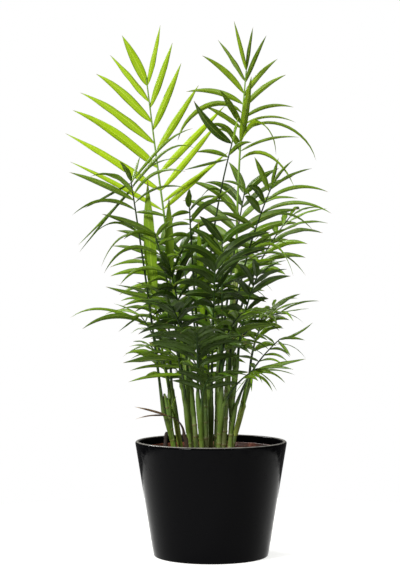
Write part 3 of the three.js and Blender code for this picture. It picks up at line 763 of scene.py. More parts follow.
class SmoothPath:
    """An even curve through a few points: a line for two, a parabola for three, a cubic for four."""

    def __init__(self, points: list[Vector], shares: list[float] | None = None, bends: int = 3) -> None:
        """Fits the curve.

        Args:
            points: The points it passes.
            shares: Where along it each lies, 0 to 1, or None for their distance along the points.
            bends: The greatest power that the curve uses.
        """
        if shares is None:
            steps = [0.0, *((b - a).length for a, b in zip(points, points[1:]))]
            travelled = numpy.cumsum(steps)
            shares = list(travelled / travelled[-1])
        power = min(bends, len(points) - 1)
        self.terms = numpy.polyfit(shares, numpy.array(points), power)

    def at(self, share: float) -> Vector:
        """Gives the point at a share of the curve."""
        return Vector(sum(term * share ** (len(self.terms) - 1 - i) for i, term in enumerate(self.terms)))

    def along(self, share: float) -> Vector:
        """Gives the direction at a share of the curve."""
        return (self.at(share + 0.01) - self.at(share - 0.01)).normalized()


@dataclass
class Stalk:
    """A leaf stalk: its centreline, and its radius at a few shares of it."""

    STEPS = 7  # a stalk's solid has this many straight steps, evenly along its arc
    OFF_CENTRE = 0.05 * MM  # where a ring's two middles lie further apart, a leaflet cuts it
    SEARCH = 240  # how finely the stalk is searched for the foot of a leaflet

    path: SmoothPath
    radii: Outline

    @classmethod
    def read(cls, reader: SolidReader) -> "Stalk":
        """Reads the stalk of a frond's solid from the rings of corners near its foot.

        Args:
            reader: The frond's solid.

        Returns:
            The stalk.
        """
        lines = [reader.follow(corner, edge, Edge.STALK) for corner, edge in reader.foot_corners()]
        first = lines[0]
        opposite = max(lines[1:], key=lambda line: (line[0] - first[0]).length)
        others = [line for line in lines[1:] if line is not opposite]
        centres, radii = [], []
        for ring in zip(first, opposite, *others):
            middles = [(ring[0] + ring[1]) / 2, (ring[2] + ring[3]) / 2]
            if (middles[0] - middles[1]).length > cls.OFF_CENTRE:
                break
            centres.append(middles[0])
            radii.append((ring[0] - ring[1]).length / 2)
        shares = [i / cls.STEPS for i in range(len(centres))]
        drop = (radii[-2] - radii[-1]) / (shares[-1] - shares[-2])
        end = (1.001, radii[-1] - drop * (1 - shares[-1]))  # just past the stalk's own end
        return cls(SmoothPath(centres, shares, bends=2), [*zip(shares, radii), end])

    def radius(self, share: float) -> float:
        """Gives the stalk's radius at a share of its length."""
        return float(numpy.interp(share, *zip(*self.radii)))

    def meet(self, start: Vector, heading: Vector) -> tuple[float, Vector]:
        """Finds where a leaflet's line meets the stalk.

        Args:
            start: A point on the leaflet.
            heading: The leaflet's direction there, towards the stalk.

        Returns:
            The share of the stalk, and the point.
        """
        def miss(share: float) -> float:
            """Gives how far from the leaflet's line a share of the stalk lies."""
            reach = self.path.at(share) - start
            return (reach - heading * max(reach.dot(heading), 0.0)).length

        share = min((i / self.SEARCH for i in range(self.SEARCH + 1)), key=miss)
        return share, self.path.at(share)


@dataclass
class Blade:
    """One leaflet: its midrib from root to point, the way its upper side faces, and its half width."""

    ROOT_SHARE = 0.12  # of its greatest half width, at the root
    POINT_SHARE = 0.025
    RISE = 0.62
    FALL = 0.95
    WIDEST = 8 * MM
    SKEW = 0.2  # how unevenly far from the point the two corners of one section may be

    midrib: SmoothPath
    upper: Vector
    half_width: float

    @classmethod
    def outline(cls, share: float) -> float:
        """Gives the blade's half width at a share of its length.

        Args:
            share: The share of its length, 0 at the root.

        Returns:
            The half width, as a share of the greatest.
        """
        widest = cls.RISE / (cls.RISE + cls.FALL)
        peak = widest ** cls.RISE * (1 - widest) ** cls.FALL
        lance = share ** cls.RISE * (1 - share) ** cls.FALL / peak
        return max(lance, cls.ROOT_SHARE if share < 0.5 else cls.POINT_SHARE)

    @classmethod
    def read(cls, reader: SolidReader, point: bmesh.types.BMVert, stalk: Stalk) -> "Blade":
        """Reads a leaflet from its point back along its two edges.

        Args:
            reader: The frond's solid.
            point: The corner where the leaflet ends.
            stalk: The stalk that it grows from.

        Returns:
            The leaflet.
        """
        edges = reader.sharp(point, Edge.BLADE)[:2]
        left, right = (reader.follow(point, edge, Edge.BLADE) for edge in edges)
        tip = point.co.copy()
        pairs = []
        for corner in left[1:]:
            far = (corner - tip).length
            mate = min(right[1:], key=lambda other: abs((other - tip).length - far))
            is_level = abs((mate - tip).length - far) < cls.SKEW * far
            if is_level and all(mate is not pair[1] for pair in pairs):
                pairs.append((corner, mate))
        pairs = pairs or [(left[1], right[1])]
        spans = [(a - b).length for a, b in pairs]
        at_root = len(pairs) > 1 and spans[-1] < 0.5 * max(spans)
        foot = (pairs[-1][0] + pairs[-1][1]) / 2 if at_root else None
        pairs = pairs[:-1] if at_root else pairs
        middles = [(a + b) / 2 for a, b in pairs]
        back = foot - middles[-1] if foot else middles[-1] - tip
        _, root = stalk.meet(middles[-1], back.normalized())
        points = [root, *reversed(middles), tip]
        length = sum((b - a).length for a, b in zip(points, points[1:]))
        shares, travelled = [], 0.0
        for a, b in zip(points, points[1:]):
            travelled += (b - a).length
            shares.append(travelled / length)
        halves = [(a - b).length / 2 for a, b in reversed(pairs)]
        half_width = min(max(half / cls.outline(share) for half, share in zip(halves, shares)), cls.WIDEST)
        across = (pairs[0][1] - pairs[0][0]).normalized()
        flattest = min(edges[0].link_faces, key=lambda face: abs(face.normal.dot(across)))
        return cls(SmoothPath(points), flattest.normal.copy(), half_width)


def steady_radius(node: str, heights: tuple[float, float]) -> list[float]:
    """Reads the radii of a turned solid between two heights.

    Args:
        node: The node's name.
        heights: Lowest and highest, in metres.

    Returns:
        Each distinct radius of its corners there, smallest first.
    """
    radii = {
        round(math.hypot(v.co.x, v.co.y), 5)
        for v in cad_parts[node].data.vertices if heights[0] <= v.co.z <= heights[1]
    }
    return sorted(radii)


# ---------------------------------------------------------------- Geometry Nodes


class GrowthTree:
    """A Geometry Nodes tree with named inputs, which grows a piece from its source mesh."""

    def __init__(self, name: str, inputs: dict[str, str]) -> None:
        """Makes the empty tree.

        Args:
            name: The tree's name.
            inputs: The kind of each named input, such as "Float".
        """
        self.tree = bpy.data.node_groups.new(name, "GeometryNodeTree")
        self.tree.interface.new_socket("Geometry", in_out="OUTPUT", socket_type="NodeSocketGeometry")
        for label, kind in {"Geometry": "Geometry", **inputs}.items():
            self.tree.interface.new_socket(label, in_out="INPUT", socket_type="NodeSocket" + kind)
        self.source = self.tree.nodes.new("NodeGroupInput").outputs

    def end(
        self, geometry: bpy.types.NodeSocket,
        *finishes: tuple[bpy.types.NodeSocket, bpy.types.NodeSocket | bool],
    ) -> None:
        """Ends the tree by making its instances real and giving them their finishes.

        Args:
            geometry: What the tree has made.
            finishes: Pairs of a material input, and which faces have it: an output, or True for all.
        """
        made = put(self.tree, "GeometryNodeRealizeInstances", {"Geometry": geometry})
        for material, faces in finishes:
            made = put(self.tree, "GeometryNodeSetMaterial", {
                "Geometry": made,
                "Selection": faces,
                "Material": material,
            })
        put(self.tree, "NodeGroupOutput", (made,))

    def grow(self, name: str, mesh: bpy.types.Mesh, sizes: dict[str, object]) -> bpy.types.Object:
        """Runs the tree over a mesh.

        Args:
            name: The name of the new piece.
            mesh: The mesh that it grows from.
            sizes: A value for each named input.

        Returns:
            The piece, a plain mesh.
        """
        seed = bpy.data.objects.new(name + "_source", mesh)
        bpy.context.scene.collection.objects.link(seed)
        modifier = seed.modifiers.new("growth", "NODES")
        modifier.node_group = self.tree
        for item in self.tree.interface.items_tree:
            if item.in_out == "INPUT" and item.name in sizes:
                modifier[item.identifier] = sizes[item.name]
        graph = bpy.context.evaluated_depsgraph_get()
        grown = bpy.data.meshes.new_from_object(
            seed.evaluated_get(graph), preserve_all_data_layers=True, depsgraph=graph
        )
        bpy.data.objects.remove(seed)
        grown.name = name
        piece = bpy.data.objects.new(name, grown)
        bpy.context.scene.collection.objects.link(piece)
        return piece


def frond_tree() -> GrowthTree:
    """Makes the tree that sweeps a frond's stalk and its folded, rippled leaflets along their lines.

    Returns:
        The tree.
    """
    tree = GrowthTree("frond_growth", {
        "Blade finish": "Material", "Stalk finish": "Material",
        "Fold": "Float", "Thickness": "Float", "Ripple": "Float",
    })
    nodes, source = tree.tree, tree.source
    lines = put(nodes, "GeometryNodeMeshToCurve", {"Mesh": source["Geometry"]})
    facing = put(nodes, READ, ("widthways",), data_type="FLOAT_VECTOR")
    lines = put(nodes, "GeometryNodeSetCurveNormal", {"Curve": lines, "Normal": facing}, mode="FREE")
    is_stalk = put(nodes, MATH, (put(nodes, READ, ("is_stalk",)), 0.5), operation="GREATER_THAN")
    split = put(nodes, "GeometryNodeSeparateGeometry", {
        "Geometry": lines,
        "Selection": is_stalk,
    }, domain="CURVE")
    girth = put(nodes, READ, ("girth",))

    # A leaflet's section: a thin closed lens, folded down on both sides of the midrib.
    ring = put(nodes, "GeometryNodeCurvePrimitiveCircle", {"Resolution": 8, "Radius": 1.0})
    place = put(nodes, "ShaderNodeSeparateXYZ", {0: put(nodes, "GeometryNodeInputPosition")}).node.outputs
    ring = put(nodes, STORE, {"Geometry": ring, "Name": "across", "Value": place["X"]})
    ring = put(nodes, STORE, {"Geometry": ring, "Name": "side", "Value": place["Y"]})
    across, side = (put(nodes, READ, (name,)) for name in ("across", "side"))
    sunk = put(nodes, MATH, (
        put(nodes, MATH, (across,), operation="ABSOLUTE"),
        source["Fold"],
    ), operation="MULTIPLY")
    level = put(nodes, MATH, (
        put(nodes, MATH, (side, source["Thickness"]), operation="MULTIPLY"),
        sunk,
    ), operation="SUBTRACT")
    section = put(nodes, VECTOR, {0: across, 1: level})
    ring = put(nodes, MOVE, {"Geometry": ring, "Position": section})
    blades = put(nodes, SWEEP, {
        "Curve": split.node.outputs[1],
        "Profile Curve": ring,
        "Scale": girth,
        "Fill Caps": True,
    })

    # The ripple grows towards the blade's edges and shifts from leaflet to leaflet.
    waves, shift, slant = 17.0, 40.0, 1.3  # radians along a leaflet, between two, and out to its edge
    phase = put(nodes, MATH, (
        put(nodes, MATH, (put(nodes, READ, ("along",)), waves), operation="MULTIPLY"),
        put(nodes, MATH, (put(nodes, READ, ("tone",)), shift), operation="MULTIPLY"),
    ), operation="ADD")
    phase = put(nodes, MATH, (
        phase,
        put(nodes, MATH, (across, slant), operation="MULTIPLY"),
    ), operation="ADD")
    edge = put(nodes, MATH, (
        put(nodes, MATH, (across, across), operation="MULTIPLY"),
        girth,
    ), operation="MULTIPLY")
    swing = put(nodes, MATH, (put(nodes, MATH, (phase,), operation="SINE"), edge), operation="MULTIPLY")
    swing = put(nodes, MATH, (swing, source["Ripple"]), operation="MULTIPLY")
    upward = put(nodes, "ShaderNodeVectorMath", {
        0: put(nodes, READ, ("upper",), data_type="FLOAT_VECTOR"),
        "Scale": swing,
    }, operation="SCALE")
    blades = put(nodes, MOVE, {"Geometry": blades, "Offset": upward})
    on_midrib = put(nodes, MATH, (
        put(nodes, MATH, (across,), operation="ABSOLUTE"),
        0.01,
    ), operation="LESS_THAN")
    blades = put(nodes, SMOOTH, {0: blades, "Shade Smooth": True})
    blades = put(nodes, SMOOTH, {0: blades, "Selection": on_midrib, "Shade Smooth": False}, domain="EDGE")

    rod = put(nodes, "GeometryNodeCurvePrimitiveCircle", {"Resolution": 10, "Radius": 1.0})
    stalks = put(nodes, SWEEP, {"Curve": split, "Profile Curve": rod, "Scale": girth, "Fill Caps": True})
    stalks = put(nodes, SMOOTH, {0: stalks, "Shade Smooth": True})
    joined = put(nodes, "GeometryNodeJoinGeometry")
    nodes.links.new(stalks, joined.node.inputs[0])
    nodes.links.new(blades, joined.node.inputs[0])
    tree.end(joined, (source["Blade finish"], True), (source["Stalk finish"], is_stalk))
    return tree


def spear_tree() -> GrowthTree:
    """Makes the tree that sweeps an unopened frond: leaflets still pressed together in long pleats.

    Returns:
        The tree.
    """
    tree = GrowthTree("spear_growth", {
        "Finish": "Material", "Pleats": "Int", "Pleat depth": "Float",
    })
    nodes, source = tree.tree, tree.source
    lines = put(nodes, "GeometryNodeMeshToCurve", {"Mesh": source["Geometry"]})
    facing = put(nodes, READ, ("widthways",), data_type="FLOAT_VECTOR")
    lines = put(nodes, "GeometryNodeSetCurveNormal", {"Curve": lines, "Normal": facing}, mode="FREE")
    corners = put(nodes, MATH, (source["Pleats"], 4.0), operation="MULTIPLY")
    ring = put(nodes, "GeometryNodeCurvePrimitiveCircle", {"Resolution": corners, "Radius": 1.0})
    index = put(nodes, "GeometryNodeInputIndex")
    pleat = put(nodes, MATH, (index, 1.0), operation="PINGPONG")
    depth = put(nodes, MATH, (
        1.0,
        put(nodes, MATH, (pleat, source["Pleat depth"]), operation="MULTIPLY"),
    ), operation="SUBTRACT")
    place = put(nodes, "ShaderNodeSeparateXYZ", {0: put(nodes, "GeometryNodeInputPosition")}).node.outputs
    ring = put(nodes, STORE, {"Geometry": ring, "Name": "across", "Value": place["X"]})
    ring = put(nodes, STORE, {"Geometry": ring, "Name": "side", "Value": place["Y"]})
    section = put(nodes, VECTOR, {
        0: put(nodes, READ, ("across",)),
        1: put(nodes, MATH, (put(nodes, READ, ("side",)), depth), operation="MULTIPLY"),
    })
    ring = put(nodes, MOVE, {"Geometry": ring, "Position": section})
    swept = put(nodes, SWEEP, {
        "Curve": lines,
        "Profile Curve": ring,
        "Scale": put(nodes, READ, ("girth",)),
        "Fill Caps": True,
    })
    # The bundle is as thick as its stalk but wider: it is pressed flat towards its own middle plane.
    flat = put(nodes, MATH, (put(nodes, READ, ("flatness",)), 1.0), operation="SUBTRACT")
    off = put(nodes, MATH, (
        put(nodes, MATH, (
            put(nodes, READ, ("side",)),
            put(nodes, READ, ("girth",)),
        ), operation="MULTIPLY"),
        flat,
    ), operation="MULTIPLY")
    pressed = put(nodes, "ShaderNodeVectorMath", {
        0: put(nodes, READ, ("upper",), data_type="FLOAT_VECTOR"),
        "Scale": off,
    }, operation="SCALE")
    swept = put(nodes, MOVE, {"Geometry": swept, "Offset": pressed})
    swept = put(nodes, SMOOTH, {0: swept, "Shade Smooth": True})
    tree.end(swept, (source["Finish"], True))
    return tree


def cane_tree() -> GrowthTree:
    """Makes the tree that sweeps a cane with a swollen scar at each ring where a leaf once stood.

    Returns:
        The tree.
    """
    tree = GrowthTree("cane_growth", {
        "Finish": "Material", "Foot radius": "Float", "Head radius": "Float",
        "Ring gap": "Float", "Ring height": "Float", "Ring swell": "Float",
    })
    nodes, source = tree.tree, tree.source
    line = put(nodes, "GeometryNodeMeshToCurve", {"Mesh": source["Geometry"]})
    line = put(nodes, "GeometryNodeResampleCurve", {"Curve": line, "Length": 0.9 * MM}, mode="LENGTH")
    travel = put(nodes, "GeometryNodeSplineParameter").node.outputs
    gap = put(nodes, MATH, (source["Ring gap"], 0.5), operation="MULTIPLY")
    near = put(nodes, RANGE, {
        0: put(nodes, MATH, (travel["Length"], gap), operation="PINGPONG"),
        1: 0.0,
        2: source["Ring height"],
        3: 1.0,
        4: 0.0,
    }, **EASED)
    line = put(nodes, STORE, {"Geometry": line, "Name": "ring", "Value": near})
    line = put(nodes, STORE, {"Geometry": line, "Name": "height", "Value": travel["Factor"]})
    height = put(nodes, READ, ("height",))
    taper = put(nodes, RANGE, {
        0: height,
        1: 0.0,
        2: 1.0,
        3: source["Foot radius"],
        4: source["Head radius"],
    })
    swell = put(nodes, MATH, (put(nodes, READ, ("ring",)), source["Ring swell"]), operation="MULTIPLY")
    closing = put(nodes, RANGE, {0: height, 1: 0.93, 2: 1.0, 3: 1.0, 4: 0.5}, **EASED)
    girth = put(nodes, MATH, (
        put(nodes, MATH, (taper, put(nodes, MATH, (swell, 1.0), operation="ADD")), operation="MULTIPLY"),
        closing,
    ), operation="MULTIPLY")
    rod = put(nodes, "GeometryNodeCurvePrimitiveCircle", {"Resolution": 20, "Radius": 1.0})
    swept = put(nodes, SWEEP, {"Curve": line, "Profile Curve": rod, "Scale": girth, "Fill Caps": True})
    swept = put(nodes, SMOOTH, {0: swept, "Shade Smooth": True})
    tree.end(swept, (source["Finish"], True))
    return tree


def litter_tree() -> GrowthTree:
    """Makes the tree that strews crumbs of bark and short coir fibres over the potting mix.

    Returns:
        The tree.
    """
    tree = GrowthTree("litter_growth", {
        "Finish": "Material", "Crumbs": "Float", "Fibres": "Float",
        "Crumb size": "Float", "Fibre length": "Float", "Seed": "Int",
    })
    nodes, source = tree.tree, tree.source
    ground = put(nodes, STORE, {"Geometry": source["Geometry"], "Name": "tone", "Value": 0.3})
    normal = put(nodes, "ShaderNodeSeparateXYZ", {0: put(nodes, "GeometryNodeInputNormal")}, take="Z")
    faces_up = put(nodes, MATH, (normal, 0.5), operation="GREATER_THAN")

    def strewn(
        shape: bpy.types.NodeSocket, density: bpy.types.NodeSocket, seed_shift: int,
        least: Axes, most: Axes,
    ) -> bpy.types.NodeSocket:
        """Strews one shape over the top of the mix, turned and sized at random.

        Args:
            shape: The shape.
            density: How many stand on each square metre.
            seed_shift: What is added to the tree's seed.
            least: The smallest scale along each axis.
            most: The largest.

        Returns:
            The strewn shapes.
        """
        seed = put(nodes, MATH, (source["Seed"], seed_shift), operation="ADD")
        points = put(nodes, "GeometryNodeDistributePointsOnFaces", {
            "Mesh": source["Geometry"],
            "Selection": faces_up,
            "Density": density,
            "Seed": seed,
        })
        turns = put(nodes, CHANCE, {
            0: (0.0, 0.0, 0.0),
            1: (6.28, 6.28, 6.28),  # a full turn about each axis
            "Seed": seed,
        }, data_type="FLOAT_VECTOR")
        scales = put(nodes, CHANCE, {0: least, 1: most, "Seed": seed}, data_type="FLOAT_VECTOR")
        placed = put(nodes, "GeometryNodeInstanceOnPoints", {
            "Points": points,
            "Instance": shape,
            "Rotation": turns,
            "Scale": scales,
        })
        tones = put(nodes, CHANCE, {"Seed": seed}, take=1, data_type="FLOAT")
        return put(nodes, STORE, {"Geometry": placed, "Name": "tone", "Value": tones}, domain="INSTANCE")

    crumb = put(nodes, "GeometryNodeMeshIcoSphere", {"Radius": source["Crumb size"], "Subdivisions": 1})
    half = put(nodes, MATH, (source["Fibre length"], 0.5), operation="MULTIPLY")
    fibre = put(nodes, "GeometryNodeCurveQuadraticBezier", {
        "Resolution": 5,
        "Start": put(nodes, VECTOR, {0: put(nodes, MATH, (half, -1.0), operation="MULTIPLY")}),
        "Middle": put(nodes, VECTOR, {1: put(nodes, MATH, (half, 0.6), operation="MULTIPLY")}),
        "End": put(nodes, VECTOR, {0: half}),
    })
    strand = put(nodes, "GeometryNodeCurvePrimitiveCircle", {"Resolution": 3, "Radius": 0.16 * MM})
    fibre = put(nodes, SWEEP, {"Curve": fibre, "Profile Curve": strand, "Fill Caps": True})
    joined = put(nodes, "GeometryNodeJoinGeometry")
    crumbs = strewn(crumb, source["Crumbs"], 0, (0.35, 0.3, 0.25), (1.5, 1.0, 0.8))
    fibres = strewn(fibre, source["Fibres"], 7, (0.4, 0.5, 1.0), (1.2, 1.2, 1.0))
    for part in (ground, crumbs, fibres):
        nodes.links.new(part, joined.node.inputs[0])
    tree.end(joined, (source["Finish"], True))
    return tree


def drainage_tree() -> GrowthTree:
    """Makes the tree that cuts a ring of drain holes in a pot's floor.

    Returns:
        The tree.
    """
    tree = GrowthTree("drainage", {
        "Finish": "Material", "Holes": "Int", "Hole radius": "Float", "Circle radius": "Float",
        "Floor height": "Float",
    })
    nodes, source = tree.tree, tree.source
    circle = put(nodes, "GeometryNodeMeshCircle", {
        "Vertices": source["Holes"],
        "Radius": source["Circle radius"],
    })
    lift = put(nodes, VECTOR, {2: source["Floor height"]})
    circle = put(nodes, "GeometryNodeTransform", {
        "Geometry": circle,
        "Translation": lift,
        "Rotation": (0.0, 0.0, 0.0123),  # keeps the holes off the floor's own edges
    })
    punch = put(nodes, "GeometryNodeMeshCylinder", {
        "Vertices": 24,
        "Radius": source["Hole radius"],
        "Depth": 8 * MM,  # well through the floor
    })
    punches = put(nodes, "GeometryNodeRealizeInstances", {
        0: put(nodes, "GeometryNodeInstanceOnPoints", {"Points": circle, "Instance": punch}),
    })
    cut = put(nodes, "GeometryNodeMeshBoolean", {
        "Mesh 1": source["Geometry"],
    }, operation="DIFFERENCE", solver="EXACT")
    nodes.links.new(punches, cut.node.inputs["Mesh 2"])
    tree.end(cut, (source["Finish"], True))
    return tree


# ---------------------------------------------------------------- meshes


def turned_mesh(name: str, outline: Outline, sides: int) -> bpy.types.Mesh:
    """Turns an outline about the Z axis.

    Args:
        name: The mesh's name.
        outline: Radius and height of each point, from the axis round the outside and back to it.
        sides: How many facets it has round it.

    Returns:
        A closed mesh.
    """
    mesh = bmesh.new()
    rings, pole = [], 1e-7
    for radius, height in outline:
        if radius < pole:
            rings.append([mesh.verts.new((0, 0, height))])
            continue
        turns = [2 * math.pi * i / sides for i in range(sides)]
        rings.append([mesh.verts.new((radius * math.cos(t), radius * math.sin(t), height)) for t in turns])
    for low, high in zip(rings, rings[1:]):
        for i in range(sides):
            j = (i + 1) % sides
            corners = [low[i % len(low)], low[j % len(low)], high[j % len(high)], high[i % len(high)]]
            mesh.faces.new(dict.fromkeys(corners))
    bmesh.ops.recalc_face_normals(mesh, faces=mesh.faces)
    made = bpy.data.meshes.new(name)
    mesh.to_mesh(made)
    mesh.free()
    made.shade_smooth()
    return made


def arc(centre: tuple[float, float], radius: float, start: float, end: float, steps: int) -> Outline:
    """Gives the points of an arc in an outline.

    Args:
        centre: Its centre's radius and height.
        radius: The arc's own radius.
        start: Its first angle in degrees, 0 outwards and 90 up.
        end: Its last angle.
        steps: How many steps it takes.

    Returns:
        Its points.
    """
    angles = [math.radians(start + (end - start) * i / steps) for i in range(steps + 1)]
    return [(centre[0] + radius * math.cos(a), centre[1] + radius * math.sin(a)) for a in angles]


def standing_for(piece: bpy.types.Object, node: str) -> bpy.types.Object:
    """Hides the CAD node that a piece stands for, and puts the piece on the plant's body.

    Args:
        piece: The finished piece.
        node: The CAD node.

    Returns:
        The piece.
    """
    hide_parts(node)
    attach(piece, BODY)
    return piece


@dataclass
class LineMesh:
    """Lines for a growth tree: their points, and each point's attributes."""

    points: list[Vector] = field(default_factory=list)
    edges: list[tuple[int, int]] = field(default_factory=list)
    numbers: dict[str, list[float]] = field(default_factory=dict)
    vectors: dict[str, list[Vector]] = field(default_factory=dict)

    def add(
        self, points: list[Vector], numbers: dict[str, list[float]], vectors: dict[str, list[Vector]]
    ) -> None:
        """Adds one line.

        Args:
            points: Its points in order.
            numbers: A list of numbers, one for each point, for each named attribute.
            vectors: A list of directions in the same way.
        """
        first = len(self.points)
        self.points += points
        self.edges += [(first + i, first + i + 1) for i in range(len(points) - 1)]
        for name, values in numbers.items():
            self.numbers.setdefault(name, []).extend(values)
        for name, values in vectors.items():
            self.vectors.setdefault(name, []).extend(values)

    def mesh(self, name: str) -> bpy.types.Mesh:
        """Makes the mesh of all the lines.

        Args:
            name: The mesh's name.

        Returns:
            The mesh, of edges alone.
        """
        made = bpy.data.meshes.new(name)
        made.from_pydata(self.points, self.edges, [])
        for label, values in self.numbers.items():
            made.attributes.new(label, "FLOAT", "POINT").data.foreach_set("value", values)
        for label, values in self.vectors.items():
            flat = [part for value in values for part in value]
            made.attributes.new(label, "FLOAT_VECTOR", "POINT").data.foreach_set("vector", flat)
        return made


# ---------------------------------------------------------------- pots and mix


@dataclass
class Cachepot:
    """The outer pot: a thrown cone with a round lip, closed at the bottom."""

    finish: GlazedStoneware
    sides: int = 176
    foot_recess: float = 1.2 * MM
    foot_width: float = 5 * MM
    foot_round: float = 1.6 * MM
    floor: float = 7 * MM
    inner_round: float = 4 * MM
    cad_foot_round: float = 2 * MM
    cad_lip: tuple[float, float] = (2.4 * MM, 2.2 * MM)  # below the top, where the lip's rounding starts

    def outline(self) -> Outline:
        """Works out its outline from the CAD pot's height, foot and rim.

        Returns:
            The outline, from the axis under the foot to the axis on the floor.
        """
        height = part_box("cachepot")[1].z
        foot = steady_radius("cachepot", (0.0, 0.1 * MM))[-1] + self.cad_foot_round
        radii = steady_radius("cachepot", (height - self.cad_lip[0], height - self.cad_lip[1]))
        rim, inner = radii[-1], radii[0]
        wall = rim - inner
        crest = height - wall / 2
        lean = math.degrees(math.atan2(rim - foot, crest))
        return [
            (0.0, self.foot_recess),
            (foot - self.foot_width - self.foot_round, self.foot_recess),
            (foot - self.foot_width, 0.0),
            *arc((foot - self.foot_round, self.foot_round), self.foot_round, -90, -lean, 6),
            *[(foot + (rim - foot) * i / 12, crest * i / 12) for i in range(1, 12)],
            *arc((rim - wall / 2, crest), wall / 2, -lean, 180, 18),
            (foot - wall + (inner - foot + wall) * 0.5, crest * 0.5),
            *arc((foot - wall - 3 * MM, self.floor + self.inner_round), self.inner_round, 0, -90, 6),
            (0.0, self.floor),
        ]

    def build(self) -> bpy.types.Object:
        """Builds and dresses the pot.

        Returns:
            The piece.
        """
        name = "glazed_cachepot"
        piece = bpy.data.objects.new(name, turned_mesh(name, self.outline(), self.sides))
        bpy.context.scene.collection.objects.link(piece)
        piece.data.materials.append(self.finish.material(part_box("cachepot")[1].z))
        return standing_for(piece, "cachepot")


@dataclass
class NurseryPot:
    """The plastic pot inside it: a thin tapered wall with a proud rim band and drain holes."""

    finish: MouldedPolypropylene
    wall: float = 1.3 * MM
    band_height: float = 9 * MM
    band_proud: float = 1.6 * MM
    taper: float = 0.164  # how far the wall leans out for each unit of height
    foot_round: float = 2 * MM
    holes: int = 6
    hole_radius: float = 4.5 * MM
    hole_circle: float = 0.62  # of the floor's radius
    sides: int = 144

    def build(self, tree: GrowthTree) -> bpy.types.Object:
        """Builds and dresses the pot.

        Args:
            tree: The tree that cuts the drain holes.

        Returns:
            The piece.
        """
        low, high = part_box("nursery_pot")
        rim = steady_radius("nursery_pot", (high.z - 0.1 * MM, high.z + 0.1 * MM))[-1]
        band = high.z - self.band_height
        body = rim - self.band_proud - self.taper * self.band_height
        foot = body - self.taper * (band - low.z)
        bead = self.wall * 0.6
        outline = [
            (0.0, low.z),
            (foot - self.foot_round, low.z),
            *arc((foot - self.foot_round, low.z + self.foot_round), self.foot_round, -80, -10, 4),
            (body, band),
            (body + self.band_proud - 0.4 * MM, band),
            (body + self.band_proud, band + 0.4 * MM),
            *arc((rim - bead, high.z - bead), bead, 0, 180, 8),
            (body - self.wall + self.band_proud, band + 1.2 * MM),
            (body - self.wall, band),
            (foot - self.wall, low.z + self.wall + self.foot_round),
            (foot - self.wall - self.foot_round, low.z + self.wall),
            (0.0, low.z + self.wall),
        ]
        piece = tree.grow("terracotta_nursery_pot", turned_mesh("nursery_pot", outline, self.sides), {
            "Finish": self.finish.material(),
            "Holes": self.holes,
            "Hole radius": self.hole_radius,
            "Circle radius": foot * self.hole_circle,
            "Floor height": low.z + self.wall / 2,
        })
        return standing_for(piece, "nursery_pot")


@dataclass
class MixMound:
    """The potting mix: a low uneven mound strewn with crumbs and fibres."""

    finish: PottingMix
    sides: int = 96
    rings: int = 34
    lump: float = 1.1 * MM
    lump_size: float = 9 * MM
    sunk: float = 0.9 * MM  # the mound's ground under its crumbs
    crown: float = 2.4 * MM  # how much higher its middle is than its edge
    clearance: float = 0.2 * MM  # at the pot's wall
    crumbs: float = 190000.0  # on each square metre
    fibres: float = 16000.0
    crumb_size: float = 1.0 * MM
    fibre_length: float = 9 * MM
    seed: int = 12

    def build(self, tree: GrowthTree) -> bpy.types.Object:
        """Builds and dresses the mound.

        Args:
            tree: The tree that strews the litter.

        Returns:
            The piece.
        """
        low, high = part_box("potting_mix")
        radius = high.x - self.clearance
        foot = steady_radius("potting_mix", (low.z - 0.1 * MM, low.z + 0.1 * MM))[-1]
        top = high.z - self.sunk
        dome = [(radius * (1 - i / self.rings), top - self.crown * (1 - i / self.rings) ** 2)
                for i in range(self.rings + 1)]
        mesh = turned_mesh("potting_mix", [(0.0, low.z), (foot, low.z), *dome], self.sides)
        for vertex in mesh.vertices:
            share = math.hypot(vertex.co.x, vertex.co.y) / radius
            if vertex.co.z > top - self.crown - 0.01 * MM and share < 0.99:
                spot = Vector((vertex.co.x, vertex.co.y, 0.0))
                lumps = noise.noise(spot / self.lump_size) + 0.5 * noise.noise(spot / self.lump_size * 2.7)
                vertex.co.z += self.lump * (lumps - 0.3)
        piece = tree.grow("peat_and_coir_mix", mesh, {
            "Finish": self.finish.material(),
            "Crumbs": self.crumbs,
            "Fibres": self.fibres,
            "Crumb size": self.crumb_size,
            "Fibre length": self.fibre_length,
            "Seed": self.seed,
        })
        return standing_for(piece, "potting_mix")


# ---------------------------------------------------------------- the plant


